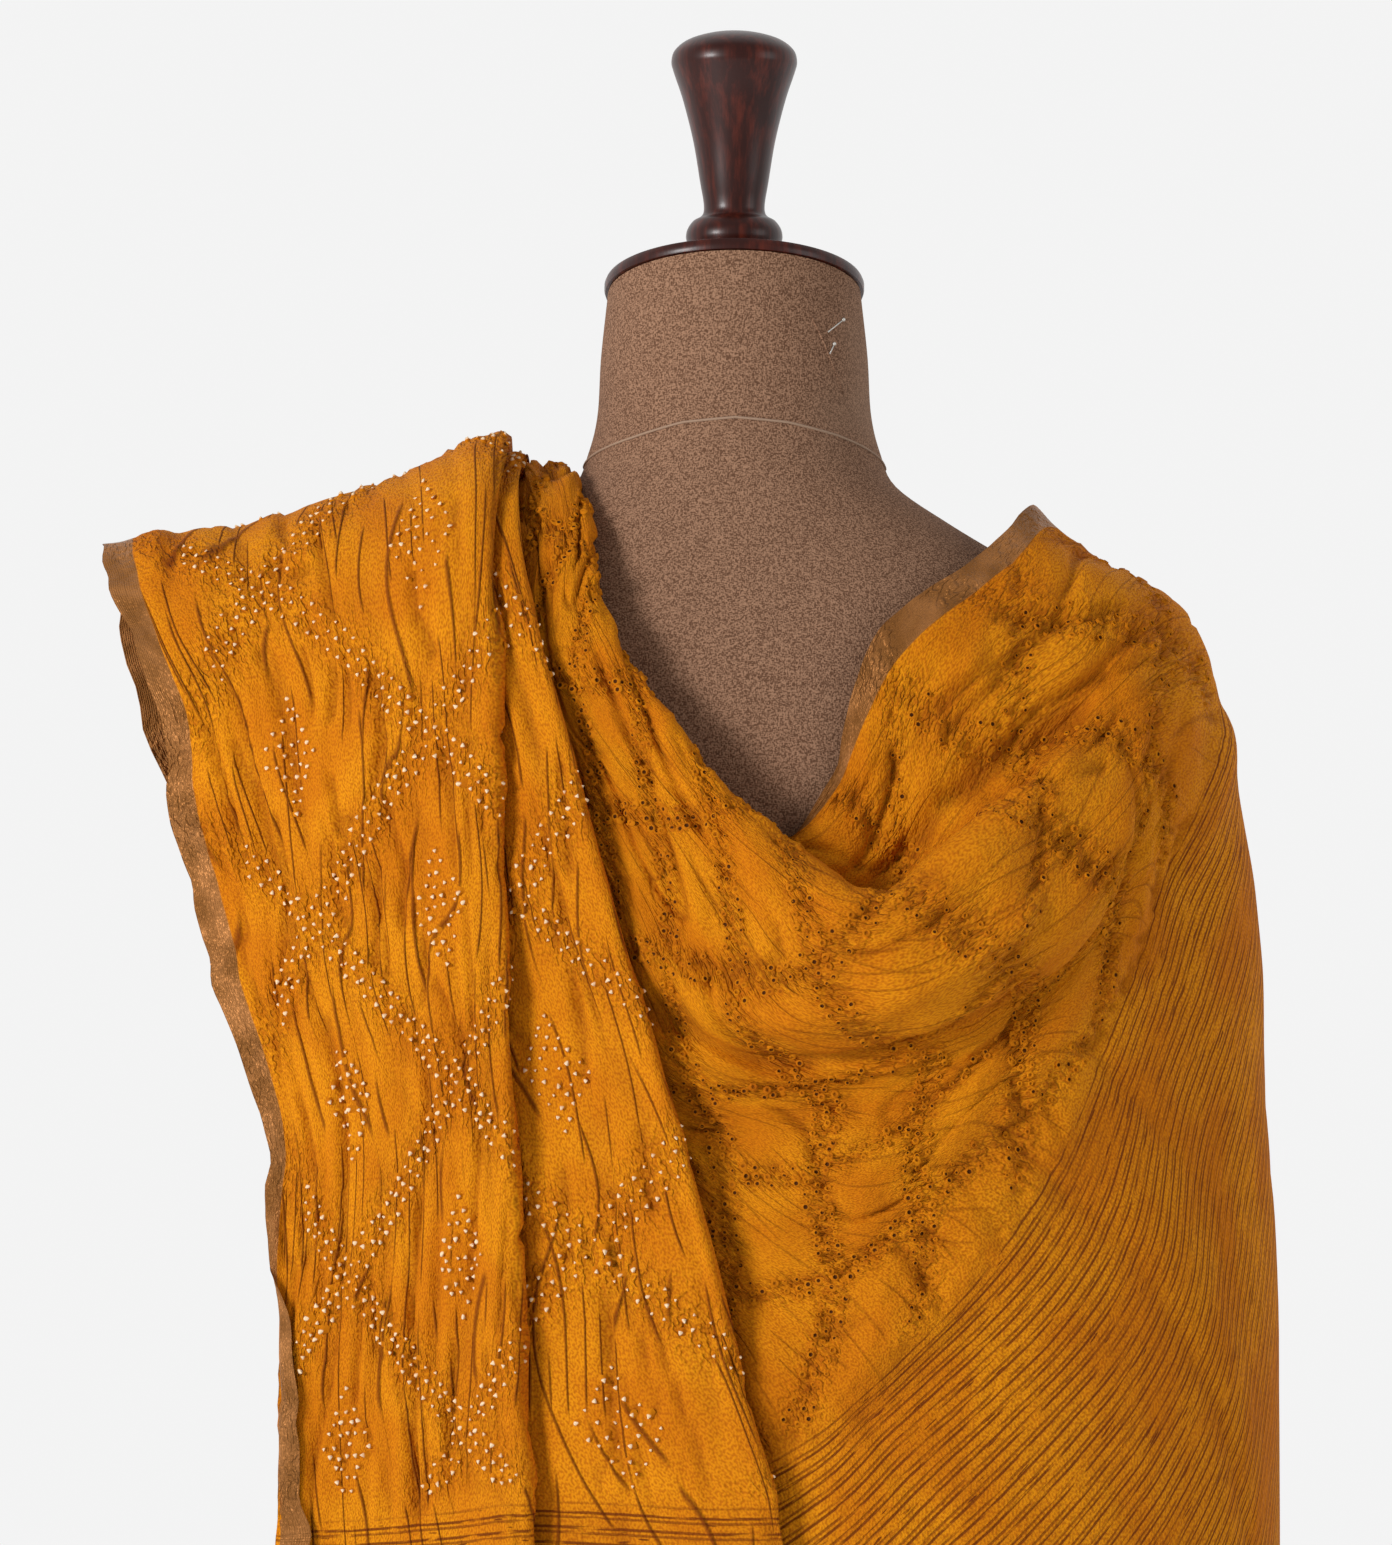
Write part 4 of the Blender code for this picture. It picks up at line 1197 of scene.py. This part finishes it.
def fine_creases(tree, place, across, gap, width, share):
    """Crisp thin creases along the cloth, a gap apart, wandering and broken into lengths."""
    sway = cloth_noise(tree, stretched(tree, place, 0.28 / gap, 8), 1, 0)
    wave = plus(tree, times(tree, across, 1 / gap), times(tree, sway, 3.4))
    line = ramp(tree, sums(tree, "PINGPONG", wave, 0.5), width / gap, 0.0)
    patches = cloth_noise(tree, stretched(tree, place, 0.7 / gap, 16), 1, 0)
    return times(tree, line, ramp(tree, patches, share, share + 0.1))


def stripe_lines(tree, uv, along, mottle):
    """Twin dark weft lines with their slubs, on the cloth's two striped ends."""
    slub = cloth_noise(tree, stretched(tree, uv, 60, 460), 1, 1, 0.6)
    wobble = times(tree, cloth_noise(tree, uv, 14, 1), 0.004)
    wave = times(tree, plus(tree, along, wobble), 1 / (STRIPE_PITCH * MM))
    line = ramp(tree, sums(tree, "PINGPONG", wave, 0.5), 0.13, 0.04)
    twin = sums(tree, "PINGPONG", plus(tree, wave, 0.33), 0.5)
    line = sums(tree, "MAXIMUM", line, times(tree, ramp(tree, twin, 0.12, 0.04), 0.75))
    line = times(tree, line, ramp(tree, slub, 0.24, 0.5))
    line = times(tree, line, ramp(tree, mottle, 0.12, 0.42))
    line = sums(tree, "MAXIMUM", line, ramp(tree, slub, 0.74, 0.8))
    low = ramp(tree, along, (STRIPES_BELOW + 2) * MM, (STRIPES_BELOW - 2) * MM)
    high = ramp(tree, along, (STRIPES_BEYOND - 2) * MM, (STRIPES_BEYOND + 2) * MM)
    return times(tree, line, sums(tree, "MAXIMUM", low, high))


def pulled_creases(tree, uv, across, along, border):
    """Where the fine creases run: on the whole fall, and more faintly on the tied wrap."""
    lines = [fine_creases(tree, uv, across, *layer) for layer in CREASE_LAYERS]
    start, end = (ramp(tree, along, *run) for run in CREASED_WRAP)
    on_wrap = times(tree, sums(tree, "MINIMUM", start, end), 0.4)
    creased = sums(tree, "MAXIMUM", ramp(tree, along, *CREASED_FALL), on_wrap)
    creased = sums(tree, "SUBTRACT", creased, border, clamp=True)
    return times(tree, sums(tree, "MAXIMUM", *lines), creased)


def cloth_material(dye):
    """Crinkled marigold silk with its woven stripes and metallic borders."""
    made, tree, shader = blank_material("tie_dyed_cloth_look")
    uv = node(tree, "ShaderNodeUVMap", uv_map="cloth").outputs[0]
    split = node(tree, "ShaderNodeSeparateXYZ", {"Vector": uv})
    across, along = split.outputs[0], split.outputs[1]
    # The first attribute here is painted shade in the hollows of the crinkle.
    crease_shade_share, tied = attribute(tree, "crease_shade"), attribute(tree, "tied")
    edge = sums(tree, "MINIMUM", across, sums(tree, "SUBTRACT", CLOTH_WIDTH * MM, across))
    border = ramp(tree, edge, (BORDER_WIDTH + 0.4) * MM, (BORDER_WIDTH - 0.4) * MM)
    mottle = cloth_noise(tree, uv, 22, 2)
    stripe = stripe_lines(tree, uv, along, mottle)
    # The fine creases sink in the relief, and their floors are darkened as painted shade.
    creases = pulled_creases(tree, uv, across, along, border)
    gathers = cloth_noise(tree, stretched(tree, uv, 360, 240), 1, 1)
    ruche = times(tree, tied, ramp(tree, gathers, 0.42, 0.66))
    weave = cloth_noise(tree, stretched(tree, uv, 1000, 800), 1, 0)
    ribs = times(tree, sums(tree, "PINGPONG", times(tree, across, 1 / RIB_PITCH), 0.5), border)

    shades = dyed(dye, "marigold"), dyed(dye, "marigold_light")
    colour = mixed(tree, ramp(tree, mottle, 0.3, 0.7), *shades)
    # The creases' colour is painted shade: in the crinkle's hollows and along the fine creases.
    for place, share, shade in (
        (ramp(tree, weave, 0.3, 0.8), 0.6, "marigold_deep"), (ruche, 0.4, "marigold_deep"),
        (crease_shade_share, 0.34, "crease_shade"), (creases, 0.75, "crease_shade"), (stripe, 0.85, "stripe"),
    ):
        colour = mixed(tree, times(tree, place, share), colour, dyed(dye, shade))
    tarnish = ramp(tree, cloth_noise(tree, uv, 60, 1), 0.25, 0.8)
    metal = mixed(tree, tarnish, linear("zari_dark"), linear("zari"))

    relief = times(tree, weave, 0.4)
    for place, rise in (
        (cloth_noise(tree, uv, 170, 0), 0.8), (stripe, -0.5), (creases, -1.4), (ruche, 1.7),
        (ribs, 0.4),
    ):
        relief = plus(tree, relief, times(tree, place, rise))
    gloss = times(tree, border, 0.4)
    feed(tree, shader, {
        "Base Color": mixed(tree, border, colour, metal),
        "Normal": relief_normal(tree, relief, 0.7, 0.0013),
        "Metallic": gloss,
        "Roughness": sums(tree, "SUBTRACT", 0.85, gloss),
        "Specular IOR Level": 0.12,
    })
    return made


def knot_material(dye):
    """The tied points: dyed cloth rising to an undyed tip, or sinking to a pit in painted shade.
    """
    made, tree, shader = blank_material("tied_point_look")
    mottle = noise(tree, own_place(tree), 60, 2)
    colour = mixed(tree, mottle, dyed(dye, "marigold_deep"), dyed(dye, "marigold_light"))
    # The pit mark is painted shade in the hollow of each sunk point.
    for mark, full in (("tip", 0.75), ("pit", 0.8)):
        colour = mixed(tree, ramp(tree, attribute(tree, mark), 0.3, full), colour, linear(mark))
    feed(tree, shader, {"Base Color": colour, "Roughness": 0.85, "Specular IOR Level": 0.12})
    return made


def linen_material():
    """Coarse brown linen with a visible weave and a few worn places."""
    made, tree, shader = blank_material("linen_look")
    place = own_place(tree)
    warp = noise(tree, stretched(tree, place, 2000, 2000, 900), 1, 0)
    weft = noise(tree, stretched(tree, place, 900, 900, 2000), 1, 0)
    threads = times(tree, plus(tree, warp, weft), 0.5)
    wear = ramp(tree, noise(tree, place, 9, 2), 0.55, 0.8)
    colour = mixed(tree, ramp(tree, threads, 0.36, 0.64), linear("linen_dark"), linear("linen"))
    feed(tree, shader, {
        "Base Color": mixed(tree, times(tree, wear, 0.35), colour, linear("seam")),
        "Normal": relief_normal(tree, threads, 0.7, 0.0008),
        "Roughness": 0.95,
        "Specular IOR Level": 0.15,
    })
    return made


def wood_material():
    """Dark turned wood under a satin varnish."""
    made, tree, shader = blank_material("dark_wood_look")
    streak = noise(tree, stretched(tree, own_place(tree), 260, 260, 14), 1, 4, 0.65)
    feed(tree, shader, {
        "Base Color": mixed(
            tree, ramp(tree, streak, 0.42, 0.75), linear("wood"), linear("wood_light")
        ),
        "Normal": relief_normal(tree, streak, 0.2, 0.0004),
        "Roughness": 0.36,
        "Specular IOR Level": 0.3,
        "Coat Weight": 0.12,
        "Coat Roughness": 0.2,
    })
    return made


def plain_material(name, colour, roughness, metallic=0.0):
    """A plain finish with a faint unevenness in its roughness."""
    made, tree, shader = blank_material(name)
    patches = times(tree, noise(tree, own_place(tree), 400, 2), 0.2)
    feed(tree, shader, {
        "Roughness": plus(tree, patches, roughness - 0.1),
        "Base Color": linear(colour),
        "Metallic": metallic,
    })
    return made


def form_tree(sides, steps):
    """Search tree of the form's body."""
    body = form_mesh(sides, steps)
    tree = BVHTree.FromBMesh(body)
    body.free()
    return tree


def knot_template(kind):
    """One tied point about its own axis, in millimetres, with how far to its tip or pit."""
    mesh = bmesh.new()
    marks, loops = [], []
    for sides, radius, rise, mark in KNOTS[kind]["rings"]:
        ring = bmesh.ops.create_circle(
            mesh, segments=sides, radius=radius, matrix=Matrix.Translation((0, 0, rise))
        )["verts"]
        marks += [mark] * len(ring)
        loops.append(ring_edges(mesh, ring))
    join_rings(mesh, loops)
    bmesh.ops.contextual_create(mesh, geom=loops[-1])
    bmesh.ops.recalc_face_normals(mesh, faces=mesh.faces[:])
    if sum(face.normal.z for face in mesh.faces) < 0:
        bmesh.ops.reverse_faces(mesh, faces=mesh.faces[:])
    bmesh.ops.triangulate(mesh, faces=mesh.faces[:])
    mesh.verts.index_update()
    places = np.array([vertex.co for vertex in mesh.verts])
    faces = np.array([[vertex.index for vertex in face.verts] for face in mesh.faces])
    mesh.free()
    return places, faces, np.array(marks)


def knots_mesh(name, surface, spots, kind):
    """Tied points joined into one mesh, each square to the cloth and a little different.

    Peaks lean the way that the cloth hangs, and a share of the pits gets darker painted shade.
    """
    points, normals, runs = on_sheet(surface, spots)
    if kind == "pit":
        normals = -normals
    rng = np.random.default_rng(KNOTS[kind]["seeds"][1])
    places, faces, marks = knot_template(kind)
    count = len(points)
    turn = rng.normal(math.pi / 2, KNOTS[kind]["turn"], count)[:, None]
    sides = np.cross(normals, runs)
    first = runs * np.cos(turn) + sides * np.sin(turn)
    second = np.cross(normals, first)
    size = rng.uniform(*KNOT_SIZES, count)[:, None, None] * MM
    lean = rng.normal((0, KNOTS[kind]["droop"]), KNOT_LEAN, (count, 2))[:, :, None]
    rise = places[None, :, 2:] * size
    corners = points[:, None] + normals[:, None] * rise
    corners += first[:, None] * (places[None, :, :1] * size + rise * lean[:, :1])
    corners += second[:, None] * (places[None, :, 1:2] * size + rise * lean[:, 1:])
    shifted = faces[None] + (np.arange(count) * len(places))[:, None, None]
    data = mesh_from(name, corners.reshape(-1, 3), shifted.reshape(-1, 3))
    # How clearly each point shows its mark: the undyed tip, or a pit's painted shade.
    clear = rng.uniform(*KNOT_CLEARNESS, count)
    if kind == "pit":
        clear = np.where(clear > DARK_PITS_ABOVE, clear, PALE_PITS)
    many = (clear[:, None] * marks).ravel()
    for name, own in (("tip", "peak"), ("pit", "pit")):
        set_attribute(data, name, many * (kind == own))
    return data


def on_sheet(surface, spots):
    """Places, normals and directions on the sheet at distances across and along it."""
    points, rows, columns = surface[:3]
    normals = sheet_normals(points)
    runs = np.gradient(points, axis=0)
    runs /= np.maximum(np.linalg.norm(runs, axis=2, keepdims=True), 1e-12)
    i = np.interp(spots[:, 1], rows, np.arange(len(rows)))
    j = np.interp(spots[:, 0], columns, np.arange(len(columns)))
    i0 = np.minimum(i.astype(int), len(rows) - 2)
    j0 = np.minimum(j.astype(int), len(columns) - 2)
    fi, fj = (i - i0)[:, None], (j - j0)[:, None]

    def read(table):
        low = table[i0, j0] * (1 - fj) + table[i0, j0 + 1] * fj
        high = table[i0 + 1, j0] * (1 - fj) + table[i0 + 1, j0 + 1] * fj
        return low * (1 - fi) + high * fi

    return read(points), read(normals), read(runs)


def cap_mesh(sides):
    """The tilted wooden cap on the neck."""
    cap = turned_mesh(
        (
            (0, PIECE_GAP), (CAP_RADIUS - 1.5, PIECE_GAP), (CAP_RADIUS - 0.4, PIECE_GAP + 0.4),
            (CAP_RADIUS, PIECE_GAP + 1.5), (CAP_RADIUS, CAP_THICKNESS - 2),
            (CAP_RADIUS - 0.6, CAP_THICKNESS - 0.6), (CAP_RADIUS - 2, CAP_THICKNESS),
            (0, CAP_THICKNESS),
        ),
        sides,
    )
    height = NECK_TOP - CAP_SHIFT * math.tan(CAP_TILT)
    bmesh.ops.rotate(
        cap, verts=cap.verts[:], cent=(0, 0, 0), matrix=Matrix.Rotation(-CAP_TILT, 3, "X")
    )
    bmesh.ops.translate(cap, verts=cap.verts[:], vec=(0, CAP_SHIFT * MM, height * MM))
    return cap


def finial_mesh(sides):
    """The turned finial, its foot cut to the tilt of the cap."""
    last = len(FINIAL_PROFILE) - 1
    outline = curve_through(range(last + 1), FINIAL_PROFILE, np.linspace(0, last, 96))
    finial = turned_mesh([(0, FINIAL_FOOT), *outline, (0, FINIAL_TOP)], sides)
    top = NECK_TOP - CAP_SHIFT * math.tan(CAP_TILT)
    top += (CAP_THICKNESS + PIECE_GAP) / math.cos(CAP_TILT)
    for vertex in finial.verts:
        if vertex.co.z < (FINIAL_FOOT + 1) * MM:
            slope = (vertex.co.y - CAP_SHIFT * MM) * math.tan(CAP_TILT)
            vertex.co.z = top * MM - slope
    return finial


def post_mesh(sides):
    """The turned post with its collar and the plate under the form."""
    return turned_mesh(
        (
            (0, FOOT_HEIGHT + PIECE_GAP), (34, FOOT_HEIGHT + PIECE_GAP),
            (34, FOOT_HEIGHT + 6), (33, FOOT_HEIGHT + 8), (27, FOOT_HEIGHT + 12),
            (24, FOOT_HEIGHT + 16), (18.5, FOOT_HEIGHT + 22), (POST_RADIUS, FOOT_HEIGHT + 30),
            (POST_RADIUS, 262), (17, 272), (22, 284), (PLATE_RADIUS - 4, 289),
            (PLATE_RADIUS, 292), (PLATE_RADIUS, TORSO_BOTTOM - PLATE_HEIGHT + 8),
            (PLATE_RADIUS - 3, TORSO_BOTTOM - PIECE_GAP), (0, TORSO_BOTTOM - PIECE_GAP),
        ),
        sides,
    )


def foot_mesh(sides):
    """The round foot with its rolled edge."""
    return turned_mesh(
        (
            (0, 0), (FOOT_RADIUS - 2, 0), (FOOT_RADIUS, 2), (FOOT_RADIUS, 11),
            (FOOT_RADIUS - 1.5, 15), (FOOT_RADIUS - 5, 17.5), (FOOT_RADIUS - 12, 19),
            (FOOT_RADIUS - 30, 20.5), (60, FOOT_HEIGHT - 0.5), (56, FOOT_HEIGHT),
            (0, FOOT_HEIGHT),
        ),
        sides,
    )


def seam_path(form, lines=120):
    """The neck seam round the form, sewn on its surface."""
    path = []
    for k in range(lines):
        angle = 2 * math.pi * k / lines
        height = float(np.interp(angle / math.pi, *zip(*NECK_SEAM)))
        away = Vector((math.sin(angle), -math.cos(angle), 0))
        middle = Vector((0, 0, height * MM))
        hit, normal, _, _ = form.ray_cast(middle + away * 0.4, -away, 0.4)
        path.append(hit + normal * 0.0002)
    return path


def on_neck(form, places, lift):
    """Places on the back of the form, from distances from its middle and heights."""
    path = []
    for across, height in places:
        start = Vector((across * MM, -0.4, height * MM))
        hit, normal, _, _ = form.ray_cast(start, Vector((0, 1, 0)), 0.6)
        path.append(hit + normal * lift * MM)
    return path


def cord_mesh(path, radius, closed=True):
    """A thin round cord along a path, closed on itself or at its two ends."""
    mesh = bmesh.new()
    loops = []
    count = len(path)
    for k, place in enumerate(path):
        before, after = path[k - 1], path[(k + 1) % count]
        if not closed:
            before, after = path[max(k - 1, 0)], path[min(k + 1, count - 1)]
        run = (after - before).normalized()
        turn = run.to_track_quat("Z", "Y").to_matrix().to_4x4()
        ring = bmesh.ops.create_circle(
            mesh, segments=8, radius=radius * MM, matrix=Matrix.Translation(place) @ turn
        )["verts"]
        loops.append(ring_edges(mesh, ring))
    join_rings(mesh, loops + (loops[:1] if closed else []))
    if not closed:
        bmesh.ops.contextual_create(mesh, geom=loops[0])
        bmesh.ops.contextual_create(mesh, geom=loops[-1])
    bmesh.ops.recalc_face_normals(mesh, faces=mesh.faces[:])
    return mesh


def pins_mesh(form):
    """Two small steel pins in the linen beside the dart."""
    mesh = bmesh.new()
    for places in NECK_PINS:
        path = on_neck(form, places, 0.3)
        data = as_mesh("pin_shaft", cord_mesh(path, PIN_RADIUS, closed=False))
        mesh.from_mesh(data)
        bpy.data.meshes.remove(data)
        bmesh.ops.create_icosphere(
            mesh, subdivisions=2, radius=PIN_HEAD * MM, matrix=Matrix.Translation(path[0])
        )
    return mesh


def chosen_peaks(gap, rng):
    """Raised points of the fall, fewer where they rub at its crest, none in hidden folds."""
    run = POINT_RUNS["peak"]
    peaks = np.concatenate([motif_points(FALL_LATTICE), lattice_points(FALL_LATTICE, *run)])
    peaks = thinned(uneven(peaks, *run, KNOTS["peak"]["seeds"][0]), gap)
    across = peaks[:, 0]
    hidden = ((across > HIDDEN_FOLD[0]) & (across < HIDDEN_FOLD[1])) | (across > HIDDEN_BEYOND)
    peaks = peaks[~hidden]
    at_crest = np.abs(peaks[:, 1] - FALL_CREST) < CREST_WORN["reach"]
    return peaks[~at_crest | (rng.random(len(peaks)) < CREST_WORN["kept"])]


def chosen_pits(gap, rng):
    """Sunk points of the wrap."""
    run = POINT_RUNS["pit"]
    pits = uneven(lattice_points(WRAP_LATTICE, *run), *run, KNOTS["pit"]["seeds"][0])
    pits = thinned(pits, gap)
    return pits[rng.random(len(pits)) < PITS_KEPT]


class BandhaniLook(bpy.types.PropertyGroup):
    """Measures of the cloth's surface that can be tried out without touching its drape."""

    crinkle: bpy.props.FloatProperty(
        name="Crinkle", description="Height of the crinkle against its usual height",
        default=1.0, min=0.0, max=2.0, subtype="FACTOR",
    )
    knot_gap: bpy.props.FloatProperty(
        name="Knot gap", description="Least distance between two tied points",
        default=0.0046, min=0.003, max=0.02, unit="LENGTH",
    )
    dye: bpy.props.FloatVectorProperty(
        name="Dye", description="Colour of the dyed cloth between its tied points",
        default=linear("marigold")[:3], min=0.0, max=1.0, subtype="COLOR",
    )
    camera_distance: bpy.props.FloatProperty(
        name="Camera distance", description="Distance of the camera from the form's middle",
        default=2.4, min=1.0, max=6.0, unit="LENGTH",
    )


class BANDHANI_OT_cloth(bpy.types.Operator):
    """Lay the cloth over the form with its crinkle, stripes, borders and tied points"""

    bl_idname = "bandhani.cloth"
    bl_label = "Drape the cloth"

    def execute(self, context):
        look = context.scene.bandhani_look
        surface = fine_surface(look.crinkle)
        points, rows, columns, crease_shade_share, length = surface
        sheet = grid_mesh(points)
        bmesh.ops.reverse_faces(sheet, faces=sheet.faces[:])
        data = as_mesh("draped_cloth", sheet)
        uv = data.uv_layers.new(name="cloth")
        u, v = np.meshgrid(columns * MM, rows * MM)
        flat = np.stack([u.ravel(), v.ravel()], axis=1)
        corner = np.empty(len(data.loops), np.int32)
        data.loops.foreach_get("vertex_index", corner)
        uv.data.foreach_set("uv", flat[corner].astype(np.float32).ravel())
        # The hollows of the crinkle, kept as painted shade for the cloth's colour.
        set_attribute(data, "crease_shade", crease_shade_share)
        set_attribute(data, "tied", tied_share(*np.meshgrid(columns, rows)))
        cloth = add_piece("draped_cloth", data, cloth_material(look.dye))
        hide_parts("bandhani_cloth")

        finish = knot_material(look.dye)
        rng = np.random.default_rng(KEPT_SEED)
        peaks = chosen_peaks(look.knot_gap / MM, rng)
        pits = chosen_pits(look.knot_gap / MM, rng)
        raised, sunk = [
            add_piece(name, knots_mesh(name, surface, spots, kind), finish)
            for name, spots, kind in (("tied_peaks", peaks, "peak"), ("tied_pits", pits, "pit"))
        ]
        print("tied points", len(peaks), len(pits), "length", round(length))
        return {"FINISHED"}


class BANDHANI_OT_form(bpy.types.Operator):
    """Cover the dress form in linen with its neck seam, and turn its wooden pieces"""

    bl_idname = "bandhani.form"
    bl_label = "Finish the dress form"

    def execute(self, context):
        linen, wood = linen_material(), wood_material()
        body = form_mesh(*FINE_RINGS)
        tree = BVHTree.FromBMesh(body)
        data = as_mesh("linen_body", body)
        cover = add_piece("linen_body", data, linen)
        data.set_sharp_from_angle(angle=LINEN_CORNER)
        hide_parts("form_body")
        dart = on_neck(tree, NECK_DART, 0)
        thread = plain_material("seam_look", "seam", 0.9)
        steel = plain_material("pin_look", "steel", 0.35, 0.5)
        for name, mesh, finish in (
            ("neck_seam", cord_mesh(seam_path(tree), SEAM_RADIUS), thread),
            ("neck_dart", cord_mesh(dart, DART_RADIUS, closed=False), linen),
            ("neck_pins", pins_mesh(tree), steel),
        ):
            add_piece(name, as_mesh(name, mesh), finish)
        for name, slot_node, mesh in (
            ("turned_finial", "finial", finial_mesh(72)),
            ("turned_cap", "neck_cap", cap_mesh(96)),
            ("turned_post", "post", post_mesh(64)),
            ("turned_foot", "foot", foot_mesh(128)),
        ):
            turned = as_mesh(name, mesh)
            piece = add_piece(name, turned, wood)
            turned.set_sharp_from_angle(angle=WOOD_CORNER)
            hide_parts(slot_node)
        return {"FINISHED"}


class BANDHANI_OT_stage(bpy.types.Operator):
    """Set the pale floor, the soft studio light and the camera"""

    bl_idname = "bandhani.stage"
    bl_label = "Set the stage"

    def execute(self, context):
        scene = context.scene
        ground = bmesh.new()
        bmesh.ops.create_circle(ground, cap_ends=True, segments=96, radius=FLOOR_RADIUS)
        data = as_mesh("studio_floor", ground)
        data.materials.append(plain_material("floor_look", "paper", 0.9))
        floor = bpy.data.objects.new("studio_floor", data)
        scene.collection.objects.link(floor)
        floor.location = (0, 0, -FLOOR_DROP)

        world = bpy.data.worlds.new("studio_air")
        world.use_nodes = True
        tree = world.node_tree
        air = tree.nodes["Background"]
        way = node(tree, "ShaderNodeTexCoord").outputs["Generated"]
        depth = node(tree, "ShaderNodeSeparateXYZ", {"Vector": way}).outputs[1]
        share = ramp(tree, depth, *AIR_FADE)
        shades = [(STUDIO_AIR[side],) * 3 + (1.0,) for side in ("before", "behind")]
        tree.links.new(mixed(tree, share, *shades), air.inputs["Color"])
        scene.world = world
        for name, place, size, power in LIGHTS:
            light = bpy.data.lights.new(name, "AREA")
            light.shape = "SQUARE"
            light.size = size
            light.energy = power
            lamp = bpy.data.objects.new(name, light)
            scene.collection.objects.link(lamp)
            lamp.location = place
            aim = Vector(LIGHTS_AIM) - Vector(place)
            lamp.rotation_euler = aim.to_track_quat("-Z", "Y").to_euler()

        view = bpy.data.cameras.new("photo_camera")
        view.sensor_fit = "VERTICAL"
        view.sensor_height = SENSOR_HEIGHT
        distance = scene.bandhani_look.camera_distance
        view.lens = SENSOR_HEIGHT * (distance - VIEW["plane"]) / VIEW["height"]
        camera = bpy.data.objects.new("photo_camera", view)
        scene.collection.objects.link(camera)
        camera.location = (VIEW["x"], -distance, VIEW["z"])
        camera.rotation_euler = (math.radians(90), 0, 0)
        scene.camera = camera
        scene.view_settings.view_transform = "Standard"
        return {"FINISHED"}


class BANDHANI_PT_panel(bpy.types.Panel):
    """Buttons for the pieces and their measures"""

    bl_idname = "BANDHANI_PT_panel"
    bl_label = "Bandhani cloth"
    bl_space_type = "VIEW_3D"
    bl_region_type = "UI"
    bl_category = "Bandhani"

    def draw(self, context):
        layout = self.layout
        look = context.scene.bandhani_look
        for name in ("dye", "crinkle", "knot_gap", "camera_distance"):
            layout.prop(look, name)
        for operator in OPERATORS:
            layout.operator(operator.bl_idname)


OPERATORS = (BANDHANI_OT_form, BANDHANI_OT_cloth, BANDHANI_OT_stage)
CLASSES = (BandhaniLook,) + OPERATORS + (BANDHANI_PT_panel,)


def register():
    for cls in CLASSES:
        bpy.utils.register_class(cls)
    bpy.types.Scene.bandhani_look = bpy.props.PointerProperty(type=BandhaniLook)


def unregister():
    del bpy.types.Scene.bandhani_look
    for cls in reversed(CLASSES):
        bpy.utils.unregister_class(cls)


def main():
    register()
    bpy.ops.bandhani.form()
    bpy.ops.bandhani.cloth()
    bpy.ops.bandhani.stage()


if __name__ == "__main__":
    main()
